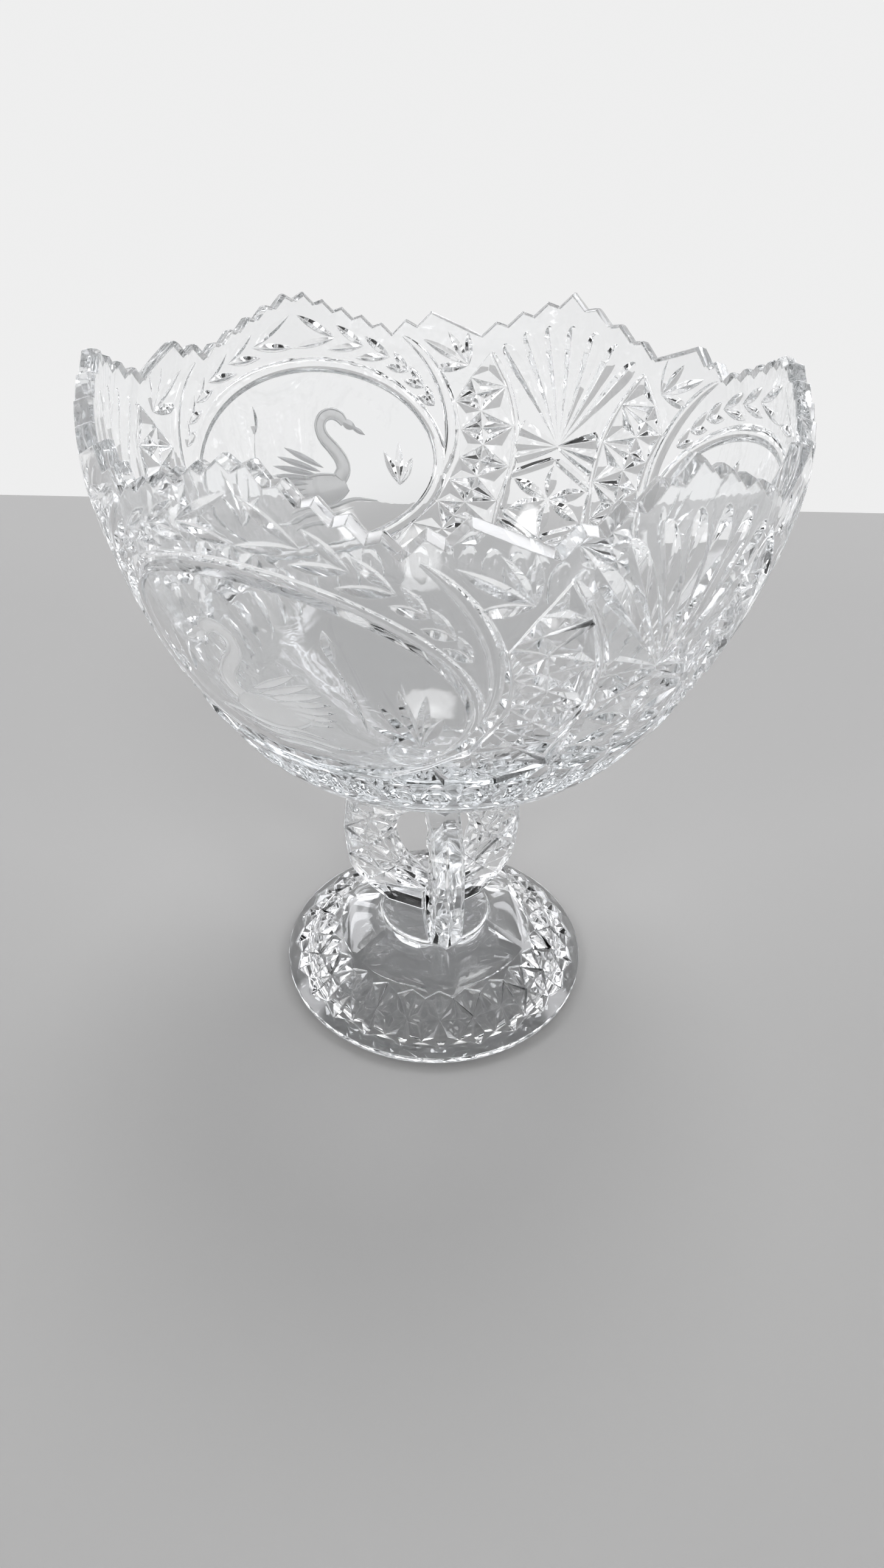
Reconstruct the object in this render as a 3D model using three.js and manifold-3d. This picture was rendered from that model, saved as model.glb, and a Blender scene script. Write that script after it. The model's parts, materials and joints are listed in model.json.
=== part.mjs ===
// Footed cut crystal bowl: a scalloped bowl carried by three C-shaped arms on a round foot.
// Millimetres, +Z up, origin in the middle of the foot's standing face.
import * as THREE from 'three';
import { mergeVertices } from 'three/addons/utils/BufferGeometryUtils.js';
import Module from 'manifold-3d';

// Foot
const FOOT_RADIUS = 58;
const FOOT_EDGE_HEIGHT = 4.2;
const FOOT_EDGE_BEVEL = 1;
const STANDING_RING_WIDTH = 7;
const FOOT_THICKNESS = 8;
const COLLAR_RADIUS = 19.5;
const COLLAR_HEIGHT = 24.4;
const COLLAR_BEVEL = 1.2;
const FOOT_SWELL = 1.6;
const FOOT_STARS = 24;
const FOOT_STAR_TIP_INSET = 2.5;
const FOOT_STAR_LENGTH = 21;
const FOOT_STAR_POINT_DEPTH = 1.7;
const FOOT_SCALLOP = 2.8;
const FOOT_RIM_STEP = 0.9;
const FOOT_RIM_LAP = 0.4;
const FOOT_PANELS = 6;
const FOOT_RIB_WIDTH = 3;
const FOOT_PANEL_DEPTH = 1.6;
const FOOT_PANEL_INSET = 0.8;
const FOOT_PANEL_CLEARANCE = 3;

// Stem: edge points are radius and height above the foot's collar, up to mid-height
const STEM_HEIGHT = 60;
const ARM_COUNT = 3;
const ARM_AZIMUTH = 34;
const ARM_REACH = 39;
const ARM_OUTER_EDGE = [[28.4, 4], [33.4, 8.1], [37, 13.8]];
const ARM_WINDOW_REACH = 18;
const ARM_WINDOW_EDGE = [[13, 18.6]];
const ARM_WINDOW_SLOPE = 0.36;
const ARM_THICKNESS = 11;
const ARM_RIDGE = 3;
const ARM_INNER_RIDGE = 1.8;
const HUB_HEIGHT = 10;
const ARM_STAR_STATIONS = [0.28, 0.66, 1];
const ARM_STAR_EDGE = 0.3;
const ARM_POINT_DEPTH = 1.5;

// Bowl: profile points are radius and height above the bowl's base
const BOWL_BASE_RADIUS = 20;
const BOWL_BASE_BEVEL = 1;
const BOWL_PAD_HEIGHT = 6;
const BOWL_PROFILE = [[33, 12], [45, 20.2], [57, 29.2], [68, 38.8], [81.6, 60.6], [93.4, 89.6]];
const BOWL_RADIUS = 99.7;
const BOWL_WIDEST_HEIGHT = 118.6;
const RIM_RADIUS = 98;
const BOWL_HEIGHT = 143.6;
const WALL = 5;
const FLOOR_THICKNESS = 9;
const PATTERN_REPEATS = 3;

// Rim: drops below the highest tips, and angles from the middle of a fan or of a medallion
const VALLEY_DROP = 16.5;
const SMALL_LOBE_DROP = 9;
const MEDALLION_TIP_DROP = 1.2;
const MEDALLION_NOTCH_DROP = 3.2;
const FAN_VALLEY_ANGLE = 19.3;
const SMALL_LOBE_ANGLE = 30.2;
const MEDALLION_VALLEY_ANGLE = 38.5;
const MEDALLION_TIP_ANGLE = 2.2;
const FAN_TEETH = 4;
const FAN_TOOTH_RISE = 1;
const SMALL_LOBE_TEETH = 2;
const SMALL_LOBE_TOOTH_RISE = 2.2;
const MEDALLION_TEETH = 5;
const MEDALLION_TOOTH_RISE = 0.9;
const TOOTH_FALL_SHARE = 0.55;

// Cut pattern: points are across from the middle of a fan or medallion, and the drop from the highest tips
const FAN_HUB_DROP = 52.7;
const FAN_FLUTES = 7;
const FAN_FLUTE_STEP = 12.5;
const FAN_FLUTE_START = 3;
const FAN_FLUTE_LENGTH = 42;
const FAN_FLUTE_WIDTH = 5.6;
const FAN_RAYS = [[72.5, 11], [94, 10], [111.5, 7.5]];
const FAN_RAY_REACH = [17.4, 15.1, 15.8];
const HEXAGON_DROP = 71.9;
const HEXAGON_HALF_HEIGHT = 14.6;
const HEXAGON_HALF_WIDTH = 17;
const HEXAGON_SIDE_HEIGHT = 13;
const HEXAGON_BAND_WIDTH = 3.4;
const PETAL_START = 1;
const PETAL_GAP = 2.6;
const PETAL_WIDTH = 4.8;
const LOWER_HUB_DROP = 89.2;
const LOWER_RAY_START = 1;
const LOWER_RAY_ENDS = [[18.8, 81.1], [19.2, 85.6], [14.7, 89.5]];
const LOWER_RAY_WIDTH = 3.6;
const MEDALLION_DROP = 58.5;
const MEDALLION_HALF_WIDTH = 51.5;
const MEDALLION_HALF_HEIGHT = 33.2;
const GUTTER_WIDTH = 5.2;
const CRESCENT_RADIUS = 33.2;
const CRESCENT_WIDTH = 5.4;
const CRESCENT_CENTRE = [24.5, 46.2];
const CRESCENT_ENDS = [-51.5, 59];
const COLUMN_FAN_EDGE = [
  [30.5, 23], [23.2, 34.1], [18.2, 47.8], [17.2, 62.2], [19.4, 75.2], [19.3, 85],
];
const COLUMN_MIDDLE = [
  [36.9, 31.7], [31.5, 43.3], [28.7, 55.3], [28.9, 67], [31.6, 76.8], [38.3, 87.2],
];
const COLUMN_RING_EDGE = [
  [41.8, 40.2], [38.2, 50.3], [37.1, 60.4], [39.6, 68.6], [42.4, 76.5], [50.4, 84.8], [58.6, 90.4],
];
const COLUMN_LOW_EDGE = [[23, 93], [31, 93], [44, 93.2], [54, 94]];
const COLUMN_POINT_DEPTH = 1.9;
const PALMETTE_BASE = [38.1, 27.7];
const PALMETTE_TIPS = [[39, 15.8], [46.4, 15.9], [55.9, 18.6], [52, 29.3]];
const PALMETTE_LEAF_START = 2.5;
const PALMETTE_LEAF_WIDTH = 3.4;
const BORDER_FLUTES = 48;
const BORDER_FLUTE_WIDTH = 8.6;
const BORDER_FLUTE_TOP_DROP = 94;
const BORDER_FLUTE_LENGTH = 17;

// Cut depths and clearances
const LEAF_STEEPNESS = 0.5;
const RAY_STEEPNESS = 0.36;
const FLUTE_CUT_DEPTH = 2.2;
const BORDER_FLUTE_DEPTH = 1.7;
const GUTTER_DEPTH = 1.7;
const GUTTER_FLOOR_SHARE = 0.5;
const CUTTER_LIFT = 0.5;
const POINT_SINK = 0.45;
const SEAT_GAP = 0.3;
const LATHE_STEPS = 48;

const BOWL_BASE = COLLAR_HEIGHT + STEM_HEIGHT;
const RIM_TIP = BOWL_BASE + BOWL_HEIGHT;
const REPEAT_ANGLE = 360 / PATTERN_REPEATS;

const wasm = await Module();
wasm.setup();

const radians = THREE.MathUtils.degToRad;
const lerp = THREE.MathUtils.lerp;

// Solids and meshes

function signedVolume(position, triangles) {
  const a = new THREE.Vector3();
  const b = new THREE.Vector3();
  const c = new THREE.Vector3();
  let volume = 0;
  for (let i = 0; i < triangles.length; i += 3) {
    a.fromBufferAttribute(position, triangles[i]);
    b.fromBufferAttribute(position, triangles[i + 1]);
    c.fromBufferAttribute(position, triangles[i + 2]);
    volume += a.dot(b.cross(c)) / 6;
  }
  return volume;
}

function solid(geometry) {
  geometry.deleteAttribute('normal');
  geometry.deleteAttribute('uv');
  const merged = mergeVertices(geometry);
  const position = merged.getAttribute('position');
  const corners = merged.index.array;
  const triangles = [];
  for (let i = 0; i < corners.length; i += 3) {
    const [a, b, c] = [corners[i], corners[i + 1], corners[i + 2]];
    if (a !== b && b !== c && c !== a) triangles.push(a, b, c);
  }
  if (signedVolume(position, triangles) < 0) triangles.reverse();
  return new wasm.Manifold(new wasm.Mesh({
    numProp: 3,
    vertProperties: position.array,
    triVerts: new Uint32Array(triangles),
  }));
}

function cut(body, cutters) {
  return cutters.reduce((left, cutter) => left.subtract(solid(cutter)), body);
}

function middleOf(p, q) {
  return [(p[0] + q[0]) / 2, (p[1] + q[1]) / 2];
}

function glassMesh(name, body, tint) {
  const result = body.getMesh();
  const geometry = new THREE.BufferGeometry();
  geometry.setAttribute('position', new THREE.BufferAttribute(result.vertProperties, 3));
  geometry.setIndex(new THREE.BufferAttribute(result.triVerts, 1));
  geometry.computeVertexNormals();
  const material = new THREE.MeshStandardMaterial({ color: tint, roughness: 0.04, metalness: 0 });
  const mesh = new THREE.Mesh(geometry, material);
  mesh.name = name;
  return mesh;
}

// A closed skin over sections with the same number of points: a loop, or a run with capped ends. A cap is a strip
// between the first and the second half of its points, so that it follows a section that bends round the axis.
function loft(sections, loop = false) {
  const sides = sections[0].length;
  const index = [];
  const steps = loop ? sections.length : sections.length - 1;
  for (let i = 0; i < steps; i++) {
    const here = i * sides;
    const next = ((i + 1) % sections.length) * sides;
    for (let j = 0; j < sides; j++) {
      const k = (j + 1) % sides;
      index.push(here + j, next + j, next + k, here + j, next + k, here + k);
    }
  }
  if (!loop) {
    const last = (sections.length - 1) * sides;
    const addCaps = (a, b, c) => index.push(a, b, c, last + a, last + c, last + b);
    for (let j = 0, k = sides - 1; j + 1 < k; j++, k--) {
      addCaps(j, j + 1, k);
      if (j + 1 < k - 1) addCaps(j + 1, k - 1, k);
    }
  }
  const geometry = new THREE.BufferGeometry();
  const points = sections.flat().flatMap((point) => point.toArray());
  geometry.setAttribute('position', new THREE.Float32BufferAttribute(points, 3));
  geometry.setIndex(index);
  return geometry;
}

// A solid turned about the Z axis from an outline of radius and height
function turned(outline) {
  return solid(new THREE.LatheGeometry(outline, LATHE_STEPS).rotateX(Math.PI / 2));
}

// Cutters. A surface is a function (x, y, out) that gives the point at x, y on a face, raised by out.

const LEAF = [[0.5, 1]];
const FLUTE = [[0.4, 0.5], [0.78, 1], [0.93, 0.76]];
const RAY = [[0.93, 0.93]];

// A V-shaped cut between two points, as a cutting wheel leaves it: pointed at both ends
function wheelCut(surface, from, to, width, depth, shape = LEAF) {
  const run = new THREE.Vector2(to[0] - from[0], to[1] - from[1]);
  const side = new THREE.Vector2(-run.y, run.x).setLength(width / 2);
  const lift = CUTTER_LIFT / depth;
  const tip = (end, [at, share]) => {
    const along = at + (end - at) * (1 + lift / share);
    const point = surface(from[0] + run.x * along, from[1] + run.y * along, CUTTER_LIFT);
    return [point, point, point, point];
  };
  const section = ([at, share]) => {
    const x = from[0] + run.x * at;
    const y = from[1] + run.y * at;
    const spread = share + lift;
    return [
      surface(x + side.x * spread, y + side.y * spread, CUTTER_LIFT),
      surface(x, y, -depth * share),
      surface(x - side.x * spread, y - side.y * spread, CUTTER_LIFT),
      surface(x, y, 2 * CUTTER_LIFT),
    ];
  };
  return loft([tip(0, shape[0]), ...shape.map(section), tip(1, shape.at(-1))]);
}

// A trough of constant or tapering width along a path of points
function gutterCut(surface, path, width, depth, loop, taper = () => 1) {
  const count = path.length;
  const sections = path.map((point, i) => {
    const before = path[loop ? (i + count - 1) % count : Math.max(i - 1, 0)];
    const after = path[loop ? (i + 1) % count : Math.min(i + 1, count - 1)];
    const share = taper(i / (count - 1));
    const side = new THREE.Vector2(before[1] - after[1], after[0] - before[0]).setLength(share * width / 2);
    const at = (across, out) => surface(point[0] + side.x * across, point[1] + side.y * across, out);
    const floor = GUTTER_FLOOR_SHARE;
    const top = 1 + (1 - floor) * CUTTER_LIFT / depth;
    const low = -depth * share;
    return [at(top, CUTTER_LIFT), at(floor, low), at(-floor, low), at(-top, CUTTER_LIFT)];
  });
  return loft(sections, loop);
}

// What is cut away round a three-sided point that stands between three valleys
function pyramidCut(surface, corners, depth) {
  const places = [...corners].sort((p, q) => p[0] - q[0] || p[1] - q[1]);
  const low = places.map(([x, y]) => surface(x, y, -depth));
  const high = places.map(([x, y]) => surface(x, y, CUTTER_LIFT));
  const sides = [low[1].distanceTo(low[2]), low[2].distanceTo(low[0]), low[0].distanceTo(low[1])];
  const round = sides[0] + sides[1] + sides[2];
  const middle = [0, 1].map((k) => places.reduce((sum, place, i) => sum + place[k] * sides[i] / round, 0));
  const apex = surface(middle[0], middle[1], -POINT_SINK);
  const index = [3, 4, 5];
  for (const [a, b] of [[0, 1], [1, 2], [2, 0]]) {
    index.push(a, 6, b);
    if (a < b) index.push(a, b, b + 3, a, b + 3, a + 3);
    else index.push(a, b, a + 3, a + 3, b, b + 3);
  }
  const geometry = new THREE.BufferGeometry();
  const points = [...low, ...high, apex].flatMap((point) => point.toArray());
  geometry.setAttribute('position', new THREE.Float32BufferAttribute(points, 3));
  geometry.setIndex(index);
  return geometry;
}

// Points that fill a run of triangles side by side, as one cutter
function pointCutter(surface, triangles, depth) {
  return triangles.map((corners) => solid(pyramidCut(surface, corners, depth))).reduce((a, b) => a.add(b));
}

// Bowl

const bowlProfile = new THREE.SplineCurve([
  [BOWL_BASE_RADIUS, BOWL_PAD_HEIGHT],
  ...BOWL_PROFILE,
  [BOWL_RADIUS, BOWL_WIDEST_HEIGHT],
  [RIM_RADIUS, BOWL_HEIGHT],
].map(([radius, height]) => new THREE.Vector2(radius, BOWL_BASE + height)));
const wallLength = bowlProfile.getLength();

// The bowl's outer face round one meridian: x across, y down the wall from the rim's highest tips
function bowlFace(azimuth) {
  return (x, y, out) => {
    const share = THREE.MathUtils.clamp(1 - y / wallLength, 0, 1);
    const point = bowlProfile.getPointAt(share);
    const run = bowlProfile.getTangentAt(share);
    const radius = point.x + run.y * out;
    const angle = radians(azimuth) + x / point.x;
    return new THREE.Vector3(radius * Math.cos(angle), radius * Math.sin(angle), point.y - run.x * out);
  };
}

// Saw teeth between two rim points: falls with short rises between them
function teeth(fromAngle, fromDrop, toAngle, toDrop, falls, rise) {
  const step = (toAngle - fromAngle) / (falls - 1 + TOOTH_FALL_SHARE);
  const fall = (toDrop - fromDrop + (falls - 1) * rise) / falls;
  const points = [];
  for (let i = 0; i < falls; i++) {
    const angle = fromAngle + i * step;
    const drop = fromDrop + i * (fall - rise);
    points.push([angle, drop], [angle + TOOTH_FALL_SHARE * step, drop + fall]);
  }
  return points;
}

function rimCutter() {
  const middle = REPEAT_ANGLE / 2;
  const medallionSide = teeth(MEDALLION_TIP_ANGLE, MEDALLION_TIP_DROP, middle - MEDALLION_VALLEY_ANGLE,
    VALLEY_DROP, MEDALLION_TEETH, MEDALLION_TOOTH_RISE);
  const half = [
    ...teeth(0, 0, FAN_VALLEY_ANGLE, VALLEY_DROP, FAN_TEETH, FAN_TOOTH_RISE),
    ...teeth(SMALL_LOBE_ANGLE, SMALL_LOBE_DROP, MEDALLION_VALLEY_ANGLE, VALLEY_DROP, SMALL_LOBE_TEETH,
      SMALL_LOBE_TOOTH_RISE),
    ...medallionSide.reverse().slice(1).map(([angle, drop]) => [middle - angle, drop]),
  ];
  const mirrored = half.slice(1).reverse().map(([angle, drop]) => [REPEAT_ANGLE - angle, drop]);
  const repeat = [...half, [middle, MEDALLION_NOTCH_DROP], ...mirrored];
  const sections = [];
  for (let i = 0; i < PATTERN_REPEATS; i++) {
    for (const [angle, drop] of repeat) {
      const azimuth = radians(REPEAT_ANGLE / 2 + i * REPEAT_ANGLE + angle);
      const at = (radius, z) => new THREE.Vector3(radius * Math.cos(azimuth), radius * Math.sin(azimuth), z);
      const inner = RIM_RADIUS - 4 * WALL;
      const outer = RIM_RADIUS + 4 * WALL;
      const low = bowlProfile.getPointAt(1 - drop / wallLength).y;
      const high = RIM_TIP + WALL;
      sections.push([at(inner, low), at(outer, low), at(outer, high), at(inner, high)]);
    }
  }
  return loft(sections, true);
}

function fanCuts(face) {
  const polar = (angle, length) => [
    length * Math.sin(radians(angle)),
    FAN_HUB_DROP - length * Math.cos(radians(angle)),
  ];
  const cuts = [];
  const outermost = (FAN_FLUTES - 1) / 2;
  for (let i = -outermost; i <= outermost; i++) {
    const angle = i * FAN_FLUTE_STEP;
    cuts.push(wheelCut(face, polar(angle, FAN_FLUTE_START), polar(angle, FAN_FLUTE_LENGTH), FAN_FLUTE_WIDTH,
      FLUTE_CUT_DEPTH, FLUTE));
  }
  for (const side of [-1, 1]) {
    FAN_RAYS.forEach(([angle, halfAngle], i) => {
      const width = 2 * FAN_RAY_REACH[i] * Math.tan(radians(halfAngle));
      const end = polar(side * angle, FAN_RAY_REACH[i]);
      cuts.push(wheelCut(face, polar(0, 0), end, width, width * RAY_STEEPNESS, RAY));
    });
    for (const [x, y] of LOWER_RAY_ENDS) {
      const hub = [side * LOWER_RAY_START, LOWER_HUB_DROP];
      cuts.push(wheelCut(face, hub, [side * x, y], LOWER_RAY_WIDTH, LOWER_RAY_WIDTH * LEAF_STEEPNESS));
    }
  }
  return cuts;
}

function hexagonCuts(face) {
  const w = HEXAGON_HALF_WIDTH;
  const h = HEXAGON_SIDE_HEIGHT / 2;
  const corners = [
    [0, -HEXAGON_HALF_HEIGHT], [w, -h], [w, h], [0, HEXAGON_HALF_HEIGHT], [-w, h], [-w, -h],
  ];
  const ring = corners.map(([x, y]) => [x, HEXAGON_DROP + y]);
  const petals = corners.map(([x, y]) => {
    const reach = Math.hypot(x, y);
    const at = (length) => [x * length / reach, HEXAGON_DROP + y * length / reach];
    const depth = PETAL_WIDTH * LEAF_STEEPNESS;
    return wheelCut(face, at(PETAL_START), at(reach - PETAL_GAP), PETAL_WIDTH, depth);
  });
  return [gutterCut(face, ring, HEXAGON_BAND_WIDTH, GUTTER_DEPTH, true), ...petals];
}

function medallionCuts(face) {
  const steps = 30;
  const ring = [];
  for (let i = 0; i < steps; i++) {
    const angle = 2 * Math.PI * i / steps;
    const drop = MEDALLION_DROP + MEDALLION_HALF_HEIGHT * Math.sin(angle);
    ring.push([MEDALLION_HALF_WIDTH * Math.cos(angle), drop]);
  }
  return [gutterCut(face, ring, GUTTER_WIDTH, GUTTER_DEPTH, true)];
}

function crescentCuts(face) {
  const steps = 8;
  const [lowerEnd, upperEnd] = CRESCENT_ENDS.map(radians);
  const tipShare = 0.12;
  const swell = (t) => lerp(tipShare, 1, Math.sin(Math.PI * t));
  return [-1, 1].map((side) => {
    const path = [];
    for (let i = 0; i <= steps; i++) {
      const angle = lerp(lowerEnd, upperEnd, i / steps);
      const x = CRESCENT_CENTRE[0] + CRESCENT_RADIUS * Math.cos(angle);
      path.push([side * x, CRESCENT_CENTRE[1] - CRESCENT_RADIUS * Math.sin(angle)]);
    }
    return gutterCut(face, path, CRESCENT_WIDTH, GUTTER_DEPTH, false, swell);
  });
}

// The corners of the points that fill a column beside a fan: diamonds of four, with the gaps between them
function columnTriangles() {
  const [fan, middle, ring, low] = [COLUMN_FAN_EDGE, COLUMN_MIDDLE, COLUMN_RING_EDGE, COLUMN_LOW_EDGE];
  const triangles = [];
  for (let k = 0; k < middle.length - 1; k++) {
    const centre = middleOf(middle[k], middle[k + 1]);
    const diamond = [middle[k], fan[k + 1], middle[k + 1], ring[k]];
    diamond.forEach((corner, i) => triangles.push([centre, corner, diamond[(i + 1) % diamond.length]]));
    triangles.push([fan[k], fan[k + 1], middle[k]], [ring[k], ring[k + 1], middle[k + 1]]);
  }
  const last = middle.at(-1);
  triangles.push([last, fan[5], low[1]], [fan[5], low[0], low[1]], [last, low[1], low[2]]);
  triangles.push([last, low[2], ring[5]], [ring[5], low[2], low[3]], [ring[5], low[3], ring[6]]);
  return triangles;
}

function cutColumns(body, face) {
  return [-1, 1].reduce((left, side) => {
    const mirror = ([x, y]) => [side * x, y];
    const triangles = columnTriangles().map((corners) => corners.map(mirror));
    const leaves = PALMETTE_TIPS.map((tip) => {
      const depth = PALMETTE_LEAF_WIDTH * LEAF_STEEPNESS;
      const base = new THREE.Vector2(...PALMETTE_BASE);
      const run = new THREE.Vector2(...tip).sub(base).setLength(PALMETTE_LEAF_START);
      return wheelCut(face, mirror(base.add(run).toArray()), mirror(tip), PALMETTE_LEAF_WIDTH, depth);
    });
    return cut(left.subtract(pointCutter(face, triangles, COLUMN_POINT_DEPTH)), leaves);
  }, body);
}

function borderCuts() {
  const cuts = [];
  const top = [0, BORDER_FLUTE_TOP_DROP];
  const bottom = [0, BORDER_FLUTE_TOP_DROP + BORDER_FLUTE_LENGTH];
  for (let i = 0; i < BORDER_FLUTES; i++) {
    const face = bowlFace((i + 0.5) * 360 / BORDER_FLUTES);
    cuts.push(wheelCut(face, top, bottom, BORDER_FLUTE_WIDTH, BORDER_FLUTE_DEPTH));
  }
  return cuts;
}

function makeBowl() {
  const outerSteps = 10;
  const innerSteps = 6;
  const outline = [
    new THREE.Vector2(0, BOWL_BASE),
    new THREE.Vector2(BOWL_BASE_RADIUS - BOWL_BASE_BEVEL, BOWL_BASE),
    new THREE.Vector2(BOWL_BASE_RADIUS, BOWL_BASE + BOWL_BASE_BEVEL),
  ];
  for (let i = 0; i <= outerSteps; i++) {
    outline.push(bowlProfile.getPointAt(i / outerSteps));
  }
  for (let i = innerSteps; i >= 0; i--) {
    const share = i / innerSteps;
    const point = bowlProfile.getPointAt(share);
    const run = bowlProfile.getTangentAt(share);
    const thickness = lerp(FLOOR_THICKNESS, WALL, Math.min(1, share * 2));
    outline.push(new THREE.Vector2(point.x - run.y * thickness, point.y + run.x * thickness));
  }
  outline.push(new THREE.Vector2(0, outline.at(-1).y));
  let body = cut(turned(outline), [rimCutter()]);
  for (let i = 0; i < PATTERN_REPEATS; i++) {
    const medallion = bowlFace(i * REPEAT_ANGLE);
    const fan = bowlFace((i + 0.5) * REPEAT_ANGLE);
    body = cut(body, medallionCuts(medallion));
    body = cut(body, crescentCuts(medallion));
    body = cut(body, hexagonCuts(fan));
    body = cut(body, fanCuts(fan));
    body = cutColumns(body, fan);
  }
  return cut(body, borderCuts());
}

// Foot

const footProfile = new THREE.QuadraticBezierCurve(
  new THREE.Vector2(FOOT_RADIUS, FOOT_EDGE_HEIGHT),
  new THREE.Vector2(
    (FOOT_RADIUS + COLLAR_RADIUS) / 2 + FOOT_SWELL,
    (FOOT_EDGE_HEIGHT + COLLAR_HEIGHT) / 2 + FOOT_SWELL,
  ),
  new THREE.Vector2(COLLAR_RADIUS + COLLAR_BEVEL, COLLAR_HEIGHT - COLLAR_BEVEL),
);
const footSlope = footProfile.getLength();

// The foot's cone round one meridian: x across, y up the slope from the foot's edge
function footFace(azimuth) {
  return (x, y, out) => {
    const share = THREE.MathUtils.clamp(y / footSlope, 0, 1);
    const point = footProfile.getPointAt(share);
    const run = footProfile.getTangentAt(share);
    const radius = point.x + run.y * out;
    const angle = radians(azimuth) + x / point.x;
    return new THREE.Vector3(radius * Math.cos(angle), radius * Math.sin(angle), point.y - run.x * out);
  };
}

// The foot's cone by half star steps round the axis, so that neighbouring stars share their corners
function footRound(step, y, out) {
  const steps = 2 * FOOT_STARS;
  return footFace(((step + steps) % steps) * 360 / steps)(0, y, out);
}

const starTip = FOOT_STAR_TIP_INSET;
const starNotch = FOOT_STAR_TIP_INSET + FOOT_SCALLOP;
const starInnerTip = FOOT_STAR_TIP_INSET + FOOT_STAR_LENGTH;

function footStarCutter() {
  const middle = (starTip + starInnerTip) / 2;
  const triangles = [];
  for (let i = 0; i < FOOT_STARS; i++) {
    const centre = [2 * i, middle];
    for (const side of [-1, 1]) {
      const rim = [
        [2 * i, starTip], [2 * i + side, starNotch], [2 * i + side, middle],
        [2 * i + side, starInnerTip - FOOT_SCALLOP], [2 * i, starInnerTip],
      ];
      for (let k = 0; k < rim.length - 1; k++) triangles.push([centre, rim[k], rim[k + 1]]);
    }
  }
  return pointCutter(footRound, triangles, FOOT_STAR_POINT_DEPTH);
}

// Lowers the plain rim outside the stars
function footRimCutter() {
  const sections = [];
  const edge = footProfile.getTangentAt(0);
  for (let step = 0; step < 2 * FOOT_STARS; step++) {
    const inset = (step % 2 === 0 ? starTip : starNotch) + FOOT_RIM_LAP;
    const beyond = (out) => {
      const rim = footRound(step, 0, out);
      const outward = new THREE.Vector3(rim.x, rim.y, 0).normalize();
      return rim.addScaledVector(outward, -edge.x * starNotch).setZ(rim.z - edge.y * starNotch);
    };
    sections.push([
      footRound(step, inset, -FOOT_RIM_STEP), beyond(-FOOT_RIM_STEP), beyond(starNotch),
      footRound(step, inset, CUTTER_LIFT),
    ]);
  }
  return loft(sections, true);
}

// Wide hollows between the collar and the stars, with narrow ribs between them. The top of each cutter stands high
// enough for its straight sides to clear the round face.
function footPanelCuts() {
  const cuts = [];
  const stations = [
    [starInnerTip + FOOT_PANEL_INSET, 0.3], [starInnerTip + 3 * FOOT_PANEL_INSET, 1],
    [footSlope - 6 * FOOT_PANEL_INSET, 1], [footSlope - FOOT_PANEL_INSET, 0.2],
  ];
  const across = [-1, -0.5, 0.5, 1];
  for (let i = 0; i < FOOT_PANELS; i++) {
    const face = footFace(ARM_AZIMUTH + (i + 0.5) * 360 / FOOT_PANELS);
    const sections = stations.map(([y, share]) => {
      const reach = Math.PI * footProfile.getPointAt(y / footSlope).x / FOOT_PANELS - FOOT_RIB_WIDTH / 2;
      const floor = across.map((u) => face(u * reach, y, -share * FOOT_PANEL_DEPTH * (1 - u * u)));
      const top = across.map((u) => face(-u * reach, y, FOOT_PANEL_CLEARANCE));
      return [...floor, ...top];
    });
    cuts.push(loft(sections));
  }
  return cuts;
}

function makeFoot() {
  const slopeSteps = 3;
  const recessSteps = 4;
  const outline = [];
  const recessRim = FOOT_RADIUS - FOOT_EDGE_BEVEL - STANDING_RING_WIDTH;
  const ceiling = COLLAR_HEIGHT - FOOT_THICKNESS;
  for (let i = 0; i <= recessSteps; i++) {
    const angle = Math.PI / 2 * i / recessSteps;
    outline.push(new THREE.Vector2(recessRim * Math.sin(angle), ceiling * Math.cos(angle)));
  }
  outline.push(new THREE.Vector2(FOOT_RADIUS - FOOT_EDGE_BEVEL, 0));
  outline.push(new THREE.Vector2(FOOT_RADIUS, FOOT_EDGE_BEVEL));
  for (let i = 0; i <= slopeSteps; i++) {
    outline.push(footProfile.getPointAt(i / slopeSteps));
  }
  outline.push(new THREE.Vector2(COLLAR_RADIUS, COLLAR_HEIGHT), new THREE.Vector2(0, COLLAR_HEIGHT));
  const body = cut(turned(outline), [...footPanelCuts(), footRimCutter()]);
  return body.subtract(footStarCutter());
}

// Stem arms

const stemMiddle = STEM_HEIGHT / 2;

// Half of the arm's outer and inner edges, from the foot's collar up to mid-height
function armEdges() {
  const curve = (points) => new THREE.SplineCurve(points.map(([radius, z]) => new THREE.Vector2(radius, z)));
  const outer = curve([[COLLAR_RADIUS + COLLAR_BEVEL, 0], ...ARM_OUTER_EDGE, [ARM_REACH, stemMiddle]]);
  const inner = curve([
    [-ARM_THICKNESS, HUB_HEIGHT - ARM_WINDOW_SLOPE * ARM_THICKNESS],
    [0, HUB_HEIGHT],
    ...ARM_WINDOW_EDGE,
    [ARM_WINDOW_REACH, stemMiddle],
  ]);
  return { outer, inner };
}

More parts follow.
